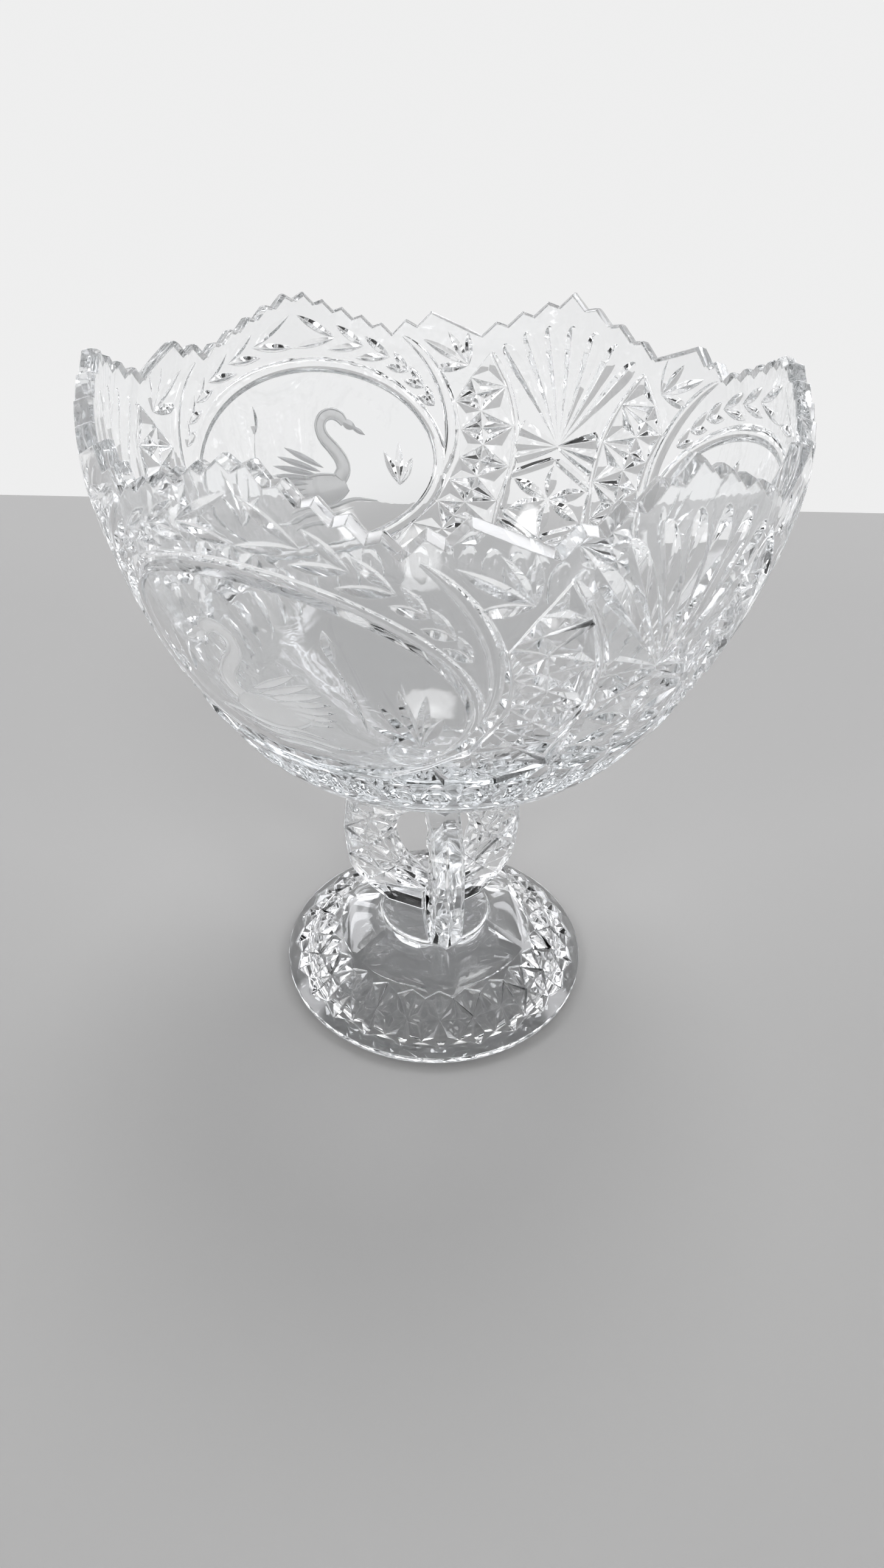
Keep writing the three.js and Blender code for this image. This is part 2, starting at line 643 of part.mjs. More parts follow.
function armSections() {
  const steps = 7;
  const { outer, inner } = armEdges();
  const lower = [];
  for (let i = 0; i <= steps; i++) {
    const share = i / steps;
    lower.push([outer.getPointAt(share), inner.getPointAt(share)]);
  }
  const seat = [new THREE.Vector2(COLLAR_RADIUS, -SEAT_GAP), new THREE.Vector2(-ARM_THICKNESS, -SEAT_GAP)];
  const rise = [seat, ...lower];
  const flip = (point) => new THREE.Vector2(point.x, STEM_HEIGHT - point.y);
  const fall = rise.slice(0, -1).reverse().map(([o, i]) => [flip(o), flip(i)]);
  return [...rise, ...fall].map(([outerPoint, innerPoint]) => {
    const inward = innerPoint.clone().sub(outerPoint).setLength(ARM_RIDGE);
    const outerShoulder = outerPoint.clone().add(inward);
    const innerShoulder = innerPoint.clone().sub(inward.setLength(ARM_INNER_RIDGE));
    const at = (point, across) => new THREE.Vector3(point.x, across, COLLAR_HEIGHT + point.y);
    const half = ARM_THICKNESS / 2;
    return [
      at(outerPoint, 0), at(outerShoulder, half), at(innerShoulder, half),
      at(innerPoint, 0), at(innerShoulder, -half), at(outerShoulder, -half),
    ];
  });
}

// The room that one arm may fill: its third round the axis, between the two seats
function armRoom() {
  const far = 3 * ARM_REACH;
  const halfAngle = Math.PI / ARM_COUNT;
  const apex = SEAT_GAP / 2 / Math.sin(halfAngle);
  const third = new THREE.Shape([
    new THREE.Vector2(apex, 0),
    new THREE.Vector2(apex + far * Math.cos(halfAngle), -far * Math.sin(halfAngle)),
    new THREE.Vector2(apex + far, 0),
    new THREE.Vector2(apex + far * Math.cos(halfAngle), far * Math.sin(halfAngle)),
  ]);
  const room = new THREE.ExtrudeGeometry(third, { depth: STEM_HEIGHT - 2 * SEAT_GAP, bevelEnabled: false });
  room.translate(0, 0, COLLAR_HEIGHT + SEAT_GAP);
  return room;
}

// Stars on the arm's flat sides: each cell between two stations is filled by eight points
function armStarTriangles() {
  const { outer, inner } = armEdges();
  const edges = ARM_STAR_STATIONS.map((station) => {
    const from = outer.getPointAt(station);
    const to = inner.getPointAt(station);
    const inward = to.clone().sub(from).normalize();
    const near = from.addScaledVector(inward, ARM_RIDGE + ARM_STAR_EDGE);
    const far = to.addScaledVector(inward, -ARM_INNER_RIDGE - ARM_STAR_EDGE);
    return [near.toArray(), far.toArray()];
  });
  const triangles = [];
  for (let i = 0; i < edges.length - 1; i++) {
    const [a, b, c, d] = [...edges[i], edges[i + 1][1], edges[i + 1][0]];
    const centre = middleOf(middleOf(a, b), middleOf(c, d));
    const rim = [a, middleOf(a, b), b, middleOf(b, c), c, middleOf(c, d), d, middleOf(d, a)];
    rim.forEach((corner, k) => triangles.push([centre, corner, rim[(k + 1) % rim.length]]));
  }
  return triangles;
}

function makeArm() {
  const body = solid(loft(armSections())).intersect(solid(armRoom()));
  const triangles = armStarTriangles();
  return [[-1, -1], [-1, 1], [1, -1], [1, 1]].reduce((left, [side, upright]) => {
    const face = (x, y, out) => new THREE.Vector3(x, side * (ARM_THICKNESS / 2 + out),
      COLLAR_HEIGHT + stemMiddle + upright * (y - stemMiddle));
    return left.subtract(pointCutter(face, triangles, ARM_POINT_DEPTH));
  }, body);
}

// Assembly

const crystal = 0xeef3f3;
const footedBowl = new THREE.Group();
footedBowl.add(glassMesh('bowl', makeBowl(), crystal));
footedBowl.add(glassMesh('foot', makeFoot(), crystal));
const arm = makeArm();
for (let i = 0; i < ARM_COUNT; i++) {
  const mesh = glassMesh(`stem_arm_${i + 1}`, arm, crystal);
  mesh.rotation.z = radians(ARM_AZIMUTH + i * 360 / ARM_COUNT);
  footedBowl.add(mesh);
}

export default footedBowl;
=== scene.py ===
"""Footed cut crystal bowl: the visual model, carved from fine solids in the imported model's frame."""
import json
import math

import bpy
import numpy as np
from mathutils import Matrix, Vector

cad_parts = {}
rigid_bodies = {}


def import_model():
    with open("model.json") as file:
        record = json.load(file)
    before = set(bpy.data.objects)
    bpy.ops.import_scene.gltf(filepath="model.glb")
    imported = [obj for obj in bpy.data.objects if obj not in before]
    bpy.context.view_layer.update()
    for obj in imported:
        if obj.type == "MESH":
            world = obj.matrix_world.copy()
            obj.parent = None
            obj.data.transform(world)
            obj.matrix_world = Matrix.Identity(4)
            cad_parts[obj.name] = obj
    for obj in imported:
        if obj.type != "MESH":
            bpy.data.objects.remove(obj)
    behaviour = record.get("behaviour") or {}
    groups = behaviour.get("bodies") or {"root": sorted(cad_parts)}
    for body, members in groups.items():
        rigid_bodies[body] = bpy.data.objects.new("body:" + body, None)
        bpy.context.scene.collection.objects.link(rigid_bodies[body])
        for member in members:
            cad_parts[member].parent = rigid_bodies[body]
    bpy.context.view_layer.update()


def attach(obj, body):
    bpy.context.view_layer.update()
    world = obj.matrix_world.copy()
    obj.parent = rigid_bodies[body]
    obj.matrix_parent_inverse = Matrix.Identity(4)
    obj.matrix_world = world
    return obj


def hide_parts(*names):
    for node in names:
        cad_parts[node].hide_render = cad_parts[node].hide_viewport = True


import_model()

MM = 0.001

# Foot, in millimetres
FOOT_RADIUS = 58.0
FOOT_EDGE_HEIGHT = 4.2
FOOT_EDGE_BEVEL = 1.0
FOOT_EDGE_EASE = 0.3
FOOT_TOP_BEVEL_IN = 0.5
FOOT_TOP_BEVEL_DOWN = 0.6
STANDING_RING_WIDTH = 7.0
FOOT_THICKNESS = 8.0
COLLAR_RADIUS = 19.5
COLLAR_HEIGHT = 24.4
COLLAR_BEVEL = 1.2
# Where the collar's round edge leaves the slope, in radians
COLLAR_BEVEL_START = 0.2
FOOT_SWELL = 1.6
FOOT_STARS = 24
FOOT_STAR_TIP_INSET = 2.5
FOOT_STAR_LENGTH = 21.0
FOOT_STAR_POINT_DEPTH = 1.7
FOOT_SCALLOP = 2.8
FOOT_RIM_STEP = 0.9
FOOT_RIM_LAP = 0.4
FOOT_PANELS = 6
FOOT_RIB_WIDTH = 3.0
FOOT_PANEL_DEPTH = 1.8
FOOT_PANEL_INSET = 0.8
FOOT_PANEL_END_DEPTH = 0.1
FOOT_PANEL_ROUNDNESS = 0.6

# Stem: edge points are radius and height above the collar
STEM_HEIGHT = 60.0
STEM_MIDDLE = STEM_HEIGHT / 2
ARM_COUNT = 3
ARM_AZIMUTH = 34.0
ARM_REACH = 39.0
ARM_OUTER_EDGE = [(28.4, 4.0), (33.4, 8.1), (37.0, 13.8)]
ARM_WINDOW_REACH = 18.0
ARM_WINDOW_EDGE = [(13.0, 18.6)]
ARM_WINDOW_SLOPE = 0.36
ARM_THICKNESS = 11.0
ARM_RIDGE = 3.0
ARM_INNER_RIDGE = 1.8
HUB_HEIGHT = 10.0
ARM_STAR_STATIONS = (0.28, 0.66)
ARM_POINT_DEPTH = 1.5
ARM_STAR_INSET = 0.3
ARM_INNER_FLAT = 0.5
SEAT_GAP = 0.3

# Bowl: profile points are radius and height above the bowl's base
BOWL_BASE = COLLAR_HEIGHT + STEM_HEIGHT
BOWL_BASE_RADIUS = 20.0
BOWL_BASE_BEVEL = 1.0
BOWL_PAD_HEIGHT = 6.0
BOWL_PROFILE = [(33.0, 12.0), (45.0, 20.2), (57.0, 29.2), (68.0, 38.8), (81.6, 60.6), (93.4, 89.6)]
BOWL_RADIUS = 99.7
BOWL_WIDEST_HEIGHT = 118.6
RIM_RADIUS = 98.0
BOWL_HEIGHT = 143.6
RIM_TIP = BOWL_BASE + BOWL_HEIGHT
WALL = 5.0
BOWL_FLOOR_THICKNESS = 9.0
BOWL_FLOOR_DIP = 1.0
# A ring of the bowl's floor between its edge and its middle: shares of the radius and of the dip
BOWL_FLOOR_RING = (0.5, 0.8)
EVEN_WALL_FROM = 0.5
REPEATS = 3
REPEAT_ANGLE = 360.0 / REPEATS

# Rim: drops below the highest tips, and angles from the middle of a fan or a medallion
VALLEY_DROP = 16.5
SMALL_LOBE_DROP = 9.0
MEDALLION_TIP_DROP = 1.2
MEDALLION_NOTCH_DROP = 3.2
FAN_VALLEY_ANGLE = 19.3
SMALL_LOBE_ANGLE = 30.2
MEDALLION_VALLEY_ANGLE = 38.5
MEDALLION_TIP_ANGLE = 2.2
FAN_TEETH = 4
FAN_TOOTH_RISE = 1.0
SMALL_LOBE_TEETH = 2
SMALL_LOBE_TOOTH_RISE = 2.2
MEDALLION_TEETH = 5
MEDALLION_TOOTH_RISE = 0.9
TOOTH_FALL_SHARE = 0.55
RIM_CROWN = 0.4
RIM_CROWN_HALF_WIDTH = 1.6
RIM_CUTTER_SLOPE = 7
RIM_CUTTER_REACH = 4 * WALL

# Cut pattern: points are across from a fan's or medallion's middle, and down from the rim's highest tips
FAN_HUB_DROP = 52.7
FAN_FLUTES = 7
FAN_FLUTE_STEP = 12.5
FAN_FLUTE_START = 3.0
FAN_FLUTE_LENGTH = 42.0
FAN_FLUTE_WIDTH = 5.6
FAN_FLUTE_DEPTH = 2.2
# Rays beside the flutes: direction from upright and half of the opening, in degrees
FAN_RAYS = [(72.5, 11.0), (94.0, 10.0), (111.5, 7.5)]
FAN_RAY_STEEPNESS = 0.36
HEXAGON_DROP = 71.9
HEXAGON = [(0, -14.6), (17, -6.5), (17, 6.5), (0, 14.6), (-17, 6.5), (-17, -6.5)]
HEXAGON_BAND_WIDTH = 3.4
HEXAGON_BAND_DEPTH = 1.4
PETAL_START = 0.05
PETAL_END = 0.86
PETAL_WIDTH = 4.8
PETAL_DEPTH = 2.2
LOWER_HUB_DROP = 89.2
LOWER_RAY_ENDS = [(18.8, 81.1), (19.2, 85.6), (14.7, 89.5)]
LOWER_RAY_WIDTH = 3.6
LOWER_RAY_DEPTH = 1.8
MEDALLION_DROP = 58.5
MEDALLION_HALF_WIDTH = 51.5
MEDALLION_HALF_HEIGHT = 33.2
GUTTER_WIDTH = 5.2
GUTTER_DEPTH = 1.9
CRESCENT_RADIUS = 33.2
CRESCENT_WIDTH = 5.4
CRESCENT_DEPTH = 2.0
CRESCENT_CENTRE = (24.5, 46.2)
CRESCENT_ENDS = (-51.5, 59.0)
COLUMN_FAN_EDGE = [(30.5, 23.0), (23.2, 34.1), (18.2, 47.8), (17.2, 62.2), (19.4, 75.2), (19.3, 85.0)]
COLUMN_MIDDLE = [(36.9, 31.7), (31.5, 43.3), (28.7, 55.3), (28.9, 67.0), (31.6, 76.8), (38.3, 87.2)]
COLUMN_RING_EDGE = [
    (41.8, 40.2), (38.2, 50.3), (37.1, 60.4), (39.6, 68.6), (42.4, 76.5), (50.4, 84.8), (58.6, 90.4),
]
COLUMN_LOW_EDGE = [(23.0, 93.0), (31.0, 93.0), (44.0, 93.2), (54.0, 94.0)]
POINT_DEPTH = 1.9
EDGE_BAND_WIDTH = 2.2
EDGE_BAND_DEPTH = 0.9
EDGE_BAND_ENDS = 0.6
PALMETTE_BASE = (38.1, 27.7)
# Leaves that spread from that base: tip and width
PALMETTE_TIPS = [((39.0, 15.8), 3.0), ((46.4, 15.9), 3.2), ((55.9, 18.6), 3.4), ((52.0, 29.3), 3.6)]
# One more leaf along the fan's border: both ends and width
BORDER_LEAF = ((23.2, 33.0), (30.0, 22.0), 3.0)
LEAF_STEEPNESS = 0.5
# Leaves of the wreath in pairs: place, direction in degrees, and the lengths of the upper and the lower leaf
WREATH = [
    ((16.3, 41.2), 12, 17.5, 16.4),
    ((27.0, 37.7), 18, 13.3, 13.8),
    ((36.7, 33.5), 20, 12.3, 13.3),
    ((43.4, 28.3), 34, 9.0, 9.0),
    ((48.8, 22.7), 38, 9.6, 8.1),
    ((52.0, 16.3), 50, 8.0, 7.5),
]
WREATH_OPENING = 19.0
WREATH_LEAF_WIDTH = 3.0
WREATH_LEAF_DEPTH = 1.5
BORDER_FLUTES = 48
BORDER_FLUTE_WIDTH = 8.6
BORDER_FLUTE_DEPTH = 1.7
BORDER_FLUTE_TOP_DROP = 94.0
BORDER_FLUTE_LENGTH = 17.0
CUTTER_LIFT = 0.5
POINT_SINK = 0.06
FROST_INSET = 0.6
FROST_LEAST_DEPTH = 0.06
LINE_SWELL = 0.7
LINE_ENDS = 0.15

# Fineness: steps round or along each form, and the angle in degrees from which an edge is sharp
BOWL_STEPS = 264
BOWL_OUTER_ROWS = 84
BOWL_INNER_ROWS = 56
FOOT_STEPS = 288
FOOT_RECESS_ROWS = 22
FOOT_SLOPE_ROWS = 26
COLLAR_ROWS = 5
FOOT_LINE_POINTS = 12
FOOT_RIM_STEPS = 12
FOOT_PANEL_ROWS = 12
FOOT_PANEL_COLUMNS = 15
ARM_ROWS = 26
ARM_ROOM_STEPS = 9
MEDALLION_STEPS = 120
CRESCENT_STEPS = 28
EDGE_BAND_STEPS = 40
SWAN_NECK_STEPS = 60
SWAN_BODY_STEPS = 21
WAVE_STEPS = 40
BULRUSH_STEPS = 12
SHARP_ANGLE = 16

# Outlines of cuts: place along the cut, and share of its full width and depth
RAY = [(0.93, 0.93)]
LENS = [(0.12, 0.42), (0.3, 0.84), (0.5, 1.0), (0.7, 0.84), (0.88, 0.42)]
BAND = [(0.08, 0.8), (0.5, 1.0), (0.92, 0.8)]
FLUTE = [(0.1, 0.12), (0.35, 0.44), (0.6, 0.78), (0.78, 1.0), (0.88, 0.93), (0.95, 0.68), (0.985, 0.38)]
BORDER_FLUTE = [(0.0, 0.35), (0.1, 0.75), (0.35, 1.0), (0.65, 0.9), (0.9, 0.55), (1.0, 0.2)]
ROUND_FLOOR = (-0.8, -0.5, -0.17, 0.17, 0.5, 0.8)


# Curves and faces

class Profile:
    """A smooth line through points of radius and height, measured evenly along its length."""

    def __init__(self, points, samples=3000):
        ends = [points[0], *points, points[-1]]
        knots = np.array(ends, float)
        t = np.linspace(0, len(points) - 1, samples)
        i = np.minimum(t.astype(int), len(points) - 2)
        w = (t - i)[:, None]
        p0, p1, p2, p3 = (knots[i + k] for k in range(4))
        v0 = (p2 - p0) / 2
        v1 = (p3 - p1) / 2
        cubic = 2 * p1 - 2 * p2 + v0 + v1
        square = -3 * p1 + 3 * p2 - 2 * v0 - v1
        self.line = cubic * w**3 + square * w**2 + v0 * w + p1
        steps = np.hypot(*np.diff(self.line, axis=0).T)
        self.measure = np.concatenate([[0], np.cumsum(steps)])
        self.length = self.measure[-1]
        run = np.gradient(self.line, axis=0)
        self.run = run / np.hypot(*run.T)[:, None]

    def at(self, distance):
        point = [np.interp(distance, self.measure, self.line[:, k]) for k in (0, 1)]
        run = [np.interp(distance, self.measure, self.run[:, k]) for k in (0, 1)]
        return point, run


bowl_points = [
    (BOWL_BASE_RADIUS, BOWL_PAD_HEIGHT), *BOWL_PROFILE,
    (BOWL_RADIUS, BOWL_WIDEST_HEIGHT), (RIM_RADIUS, BOWL_HEIGHT),
]
bowl_profile = Profile([(radius, BOWL_BASE + height) for radius, height in bowl_points])


def foot_line():
    """The foot's slope from its edge to the collar, as a curve that swells outwards."""
    start = np.array((FOOT_RADIUS, FOOT_EDGE_HEIGHT))
    end = np.array((COLLAR_RADIUS + COLLAR_BEVEL, COLLAR_HEIGHT - COLLAR_BEVEL))
    middle = np.array(((FOOT_RADIUS + COLLAR_RADIUS) / 2, (FOOT_EDGE_HEIGHT + COLLAR_HEIGHT) / 2))
    middle = middle + FOOT_SWELL
    points = []
    for t in np.linspace(0, 1, FOOT_LINE_POINTS):
        points.append(tuple((1 - t) ** 2 * start + 2 * t * (1 - t) * middle + t**2 * end))
    return points


foot_profile = Profile(foot_line())


def turned_face(profile, azimuth, measure):
    """A turned face round one meridian: (x across, y by the measure, out) to a point."""
    def place(x, y, out):
        (radius, height), (run_r, run_z) = profile.at(measure(y))
        angle = math.radians(azimuth) + x / radius
        reach = radius + run_z * out
        return (reach * math.cos(angle), reach * math.sin(angle), height - run_r * out)
    return place


def bowl_face(azimuth):
    """The bowl's outside round one meridian, measured down from the rim's highest tips."""
    return turned_face(bowl_profile, azimuth, lambda drop: bowl_profile.length - drop)


def foot_face(azimuth):
    """The foot's slope round one meridian, measured up from its edge."""
    return turned_face(foot_profile, azimuth, lambda rise: rise)


# Closed meshes as (points, faces)

def outward(points, faces):
    """The faces, turned so that the closed mesh encloses a positive volume."""
    volume = 0.0
    corners = [np.array(p) for p in points]
    for face in faces:
        for j in range(1, len(face) - 1):
            volume += np.dot(corners[face[0]], np.cross(corners[face[j]], corners[face[j + 1]]))
    return faces if volume > 0 else [tuple(reversed(face)) for face in faces]


def skin(a, b):
    """The faces between two rows of points, where a row of one point is a tip."""
    count = max(len(a), len(b))
    faces = []
    for j in range(count):
        k = (j + 1) % count
        if len(a) == 1:
            faces.append((a[0], b[j], b[k]))
        elif len(b) == 1:
            faces.append((a[j], b[0], a[k]))
        else:
            faces.append((a[j], b[j], b[k], a[k]))
    return faces


def loft(sections, loop=False):
    """A closed skin over sections, where a section of one point is a tip."""
    points = []
    rows = []
    for section in sections:
        rows.append(range(len(points), len(points) + len(section)))
        points.extend(section)
    pairs = list(zip(rows, rows[1:]))
    if loop:
        pairs.append((rows[-1], rows[0]))
    faces = []
    for a, b in pairs:
        faces += skin(a, b)
    if not loop:
        caps = (tuple(rows[0]), tuple(reversed(rows[-1])))
        faces += [cap for cap in caps if len(cap) > 1]
    return points, outward(points, faces)


def turned(outline, steps):
    """A closed solid turned from an outline that starts and ends on the axis."""
    points = []
    rows = []
    for radius, height in outline:
        count = 1 if radius == 0 else steps
        rows.append(range(len(points), len(points) + count))
        for i in range(count):
            angle = 2 * math.pi * i / steps
            points.append((radius * math.cos(angle), radius * math.sin(angle), height))
    faces = []
    for a, b in zip(rows, rows[1:]):
        faces += skin(a, b)
    return points, outward(points, faces)


# Cutters

def v_cut(face, start, end, width, depth, shape=LENS):
    """A cut with two flat flanks, pointed at both ends."""
    start = np.array(start, float)
    run = np.array(end, float) - start
    side = np.array((-run[1], run[0])) / np.hypot(*run) * width / 2
    lift = CUTTER_LIFT / depth

    def tip(end_at, station):
        at, share = station
        x, y = start + run * (at + (end_at - at) * (1 + lift / share))
        return [face(x, y, CUTTER_LIFT)]

    def section(station):
        at, share = station
        middle = start + run * at
        left = middle + side * (share + lift)
        right = middle - side * (share + lift)
        return [
            face(*left, CUTTER_LIFT), face(*middle, -depth * share), face(*right, CUTTER_LIFT),
            face(*middle, 2 * CUTTER_LIFT),
        ]

    return loft([tip(0, shape[0]), *map(section, shape), tip(1, shape[-1])])


def round_cut(face, path, widths, depths, loop=False):
    """A cut with a round floor along a path, with a width and a depth at each of its points."""
    path = np.array(path, float)
    if loop:
        runs = np.roll(path, -1, axis=0) - np.roll(path, 1, axis=0)
    else:
        runs = np.gradient(path, axis=0)
    sections = []
    for point, run, width, depth in zip(path, runs, widths, depths):
        side = np.array((-run[1], run[0])) / np.hypot(*run) * width / 2
        flare = 1 + CUTTER_LIFT / (2 * depth)
        low = [face(*(point + side * u), -depth * (1 - u * u)) for u in ROUND_FLOOR]
        sections.append([
            face(*(point - side * flare), CUTTER_LIFT), *low, face(*(point + side * flare), CUTTER_LIFT),
            face(*point, 2 * CUTTER_LIFT),
        ])
    return loft(sections, loop)


def line_cut(face, path, width, depth, ends=LINE_ENDS):
    """A round-floored cut along a path that thins towards both ends."""
    swell = []
    for t in np.linspace(0, 1, len(path)):
        swell.append(ends + (1 - ends) * math.sin(math.pi * t) ** LINE_SWELL)
    return round_cut(face, path, [width * s for s in swell], [depth * s for s in swell])


def pyramid(face, corners, depth):
    """What is cut away round a three-sided point that stands between three valleys.

    The corners are sorted, so that neighbours split the side that they share along the same diagonal.
    The apex is at the triangle's incentre, so that the three flanks are equally steep.
    """
    places = np.array(sorted(tuple(corner) for corner in corners))
    low = [face(*p, -depth) for p in places]
    high = [face(*p, CUTTER_LIFT) for p in places]
    sides = [math.dist(low[i - 1], low[i - 2]) for i in range(3)]
    apex = np.average(places, axis=0, weights=sides)
    points = [*low, *high, face(*apex, -POINT_SINK)]
    faces = [(3, 4, 5)]
    for a, b in ((0, 1), (1, 2), (2, 0)):
        faces.append((a, 6, b))
        if a < b:
            faces += [(a, b, b + 3), (a, b + 3, a + 3)]
        else:
            faces += [(a, b, a + 3), (a + 3, b, b + 3)]
    return points, outward(points, faces)


def cell_star(face, corners, depth):
    """A star of eight rays in a four-cornered cell: the valleys between the points that fill it."""
    corners = np.array(corners, float)
    centre = corners.mean(axis=0)
    ring = []
    for a, b in zip(corners, np.roll(corners, -1, axis=0)):
        ring += [a, (a + b) / 2]
    return [pyramid(face, (centre, a, b), depth) for a, b in zip(ring, ring[1:] + ring[:1])]


# Bowl

def teeth(from_angle, from_drop, to_angle, to_drop, falls, rise):
    """A saw-tooth line of angles and drops, which falls steeply and rises a little after each fall."""
    step = (to_angle - from_angle) / (falls - 1 + TOOTH_FALL_SHARE)
    fall = (to_drop - from_drop + (falls - 1) * rise) / falls
    points = []
    for i in range(falls):
        angle = from_angle + i * step
        drop = from_drop + i * (fall - rise)
        points += [(angle, drop), (angle + TOOTH_FALL_SHARE * step, drop + fall)]
    return points


def rim_cutter():
    """What lies above the scalloped saw-tooth rim, with a rim face that is slightly crowned."""
    middle = REPEAT_ANGLE / 2
    fan = teeth(0, 0, FAN_VALLEY_ANGLE, VALLEY_DROP, FAN_TEETH, FAN_TOOTH_RISE)
    lobe = teeth(
        SMALL_LOBE_ANGLE, SMALL_LOBE_DROP, MEDALLION_VALLEY_ANGLE, VALLEY_DROP,
        SMALL_LOBE_TEETH, SMALL_LOBE_TOOTH_RISE,
    )
    side = teeth(
        MEDALLION_TIP_ANGLE, MEDALLION_TIP_DROP, middle - MEDALLION_VALLEY_ANGLE, VALLEY_DROP,
        MEDALLION_TEETH, MEDALLION_TOOTH_RISE,
    )
    half = [*fan, *lobe, *[(middle - angle, drop) for angle, drop in side[-2::-1]]]
    mirrored = [(REPEAT_ANGLE - angle, drop) for angle, drop in half[:0:-1]]
    repeat = [*half, (middle, MEDALLION_NOTCH_DROP), *mirrored]
    inner = RIM_RADIUS - RIM_CUTTER_REACH
    outer = RIM_RADIUS + RIM_CUTTER_REACH
    crest = RIM_RADIUS - WALL / 2
    sections = []
    for i in range(REPEATS):
        for angle, drop in repeat:
            azimuth = math.radians(REPEAT_ANGLE / 2 + i * REPEAT_ANGLE + angle)
            low = bowl_profile.at(bowl_profile.length - drop)[0][1]
            ring = [
                (inner, low - RIM_CUTTER_SLOPE), (crest - RIM_CROWN_HALF_WIDTH, low - RIM_CROWN),
                (crest, low), (crest + RIM_CROWN_HALF_WIDTH, low - RIM_CROWN),
                (outer, low - RIM_CUTTER_SLOPE), (outer, RIM_TIP + WALL), (inner, RIM_TIP + WALL),
            ]
            sections.append([(r * math.cos(azimuth), r * math.sin(azimuth), z) for r, z in ring])
    return loft(sections, loop=True)


def fan_cuts(face):
    """The flutes that spread from a fan's hub to the rim, the rays beside them and those of the lower hub."""
    def polar(angle, length):
        angle = math.radians(angle)
        return (length * math.sin(angle), FAN_HUB_DROP - length * math.cos(angle))

    cuts = []
    for i in range(FAN_FLUTES):
        angle = (i - FAN_FLUTES // 2) * FAN_FLUTE_STEP
        start = polar(angle, FAN_FLUTE_START)
        end = polar(angle, FAN_FLUTE_LENGTH)
        cuts.append(v_cut(face, start, end, FAN_FLUTE_WIDTH, FAN_FLUTE_DEPTH, FLUTE))
    edge = np.array(COLUMN_FAN_EDGE) - (EDGE_BAND_WIDTH, 0)
    turns = np.degrees(np.arctan2(edge[:, 0], FAN_HUB_DROP - edge[:, 1]))
    reaches = np.hypot(edge[:, 0], edge[:, 1] - FAN_HUB_DROP)
    for side in (-1, 1):
        for angle, half in FAN_RAYS:
            reach = np.interp(angle, turns, reaches)
            width = 2 * reach * math.tan(math.radians(half))
            depth = width * FAN_RAY_STEEPNESS
            cuts.append(v_cut(face, (0, FAN_HUB_DROP), polar(side * angle, reach), width, depth, RAY))
        for x, y in LOWER_RAY_ENDS:
            cuts.append(v_cut(face, (side, LOWER_HUB_DROP), (side * x, y), LOWER_RAY_WIDTH, LOWER_RAY_DEPTH))
    return cuts


def hexagon_cuts(face):
    """The hexagon below a fan: a band along each side and a petal towards each corner."""
    corners = [(x, HEXAGON_DROP + y) for x, y in HEXAGON]
    cuts = []
    for a, b in zip(corners, corners[1:] + corners[:1]):
        cuts.append(v_cut(face, a, b, HEXAGON_BAND_WIDTH, HEXAGON_BAND_DEPTH, BAND))
    for x, y in HEXAGON:
        start, end = ((x * share, HEXAGON_DROP + y * share) for share in (PETAL_START, PETAL_END))
        cuts.append(v_cut(face, start, end, PETAL_WIDTH, PETAL_DEPTH))
    return cuts


def column_points():
    """The corners of the points that fill a column beside a fan, three for each."""
    fan, middle, ring, low = COLUMN_FAN_EDGE, COLUMN_MIDDLE, COLUMN_RING_EDGE, COLUMN_LOW_EDGE
    triangles = []
    for k in range(len(middle) - 1):
        centre = tuple(np.mean(middle[k:k + 2], axis=0))
        rim = [middle[k], fan[k + 1], middle[k + 1], ring[k]]
        triangles += [(centre, a, b) for a, b in zip(rim, rim[1:] + rim[:1])]
        triangles.append((fan[k], fan[k + 1], middle[k]))
        triangles.append((ring[k], ring[k + 1], middle[k + 1]))
    last = middle[-1]
    triangles += [(last, fan[-1], low[1]), (fan[-1], low[0], low[1]), (last, low[1], low[2])]
    triangles += [(last, low[2], ring[-2]), (ring[-2], low[2], low[3]), (ring[-2], low[3], ring[-1])]
    return triangles


def column_cuts(face):
    """The columns of points on both sides of a fan, each with an edge band and a palmette."""
    cuts = []
    for side in (-1, 1):
        def mirror(point):
            return (side * point[0], point[1])

        for corners in column_points():
            cuts.append(pyramid(face, [mirror(corner) for corner in corners], POINT_DEPTH))
        edge = Profile(COLUMN_FAN_EDGE, EDGE_BAND_STEPS).line
        band = [mirror((x - EDGE_BAND_WIDTH / 2, y)) for x, y in edge]
        cuts.append(line_cut(face, band, EDGE_BAND_WIDTH, EDGE_BAND_DEPTH, EDGE_BAND_ENDS))
        leaves = [(PALMETTE_BASE, tip, width) for tip, width in PALMETTE_TIPS]
        for start, end, width in [*leaves, BORDER_LEAF]:
            cuts.append(v_cut(face, mirror(start), mirror(end), width, width * LEAF_STEEPNESS))
    return cuts


def ellipse(half_width, half_height, steps, centre):
    turns = np.linspace(0, 2 * math.pi, steps, endpoint=False)
    return [(centre[0] + half_width * math.cos(a), centre[1] + half_height * math.sin(a)) for a in turns]


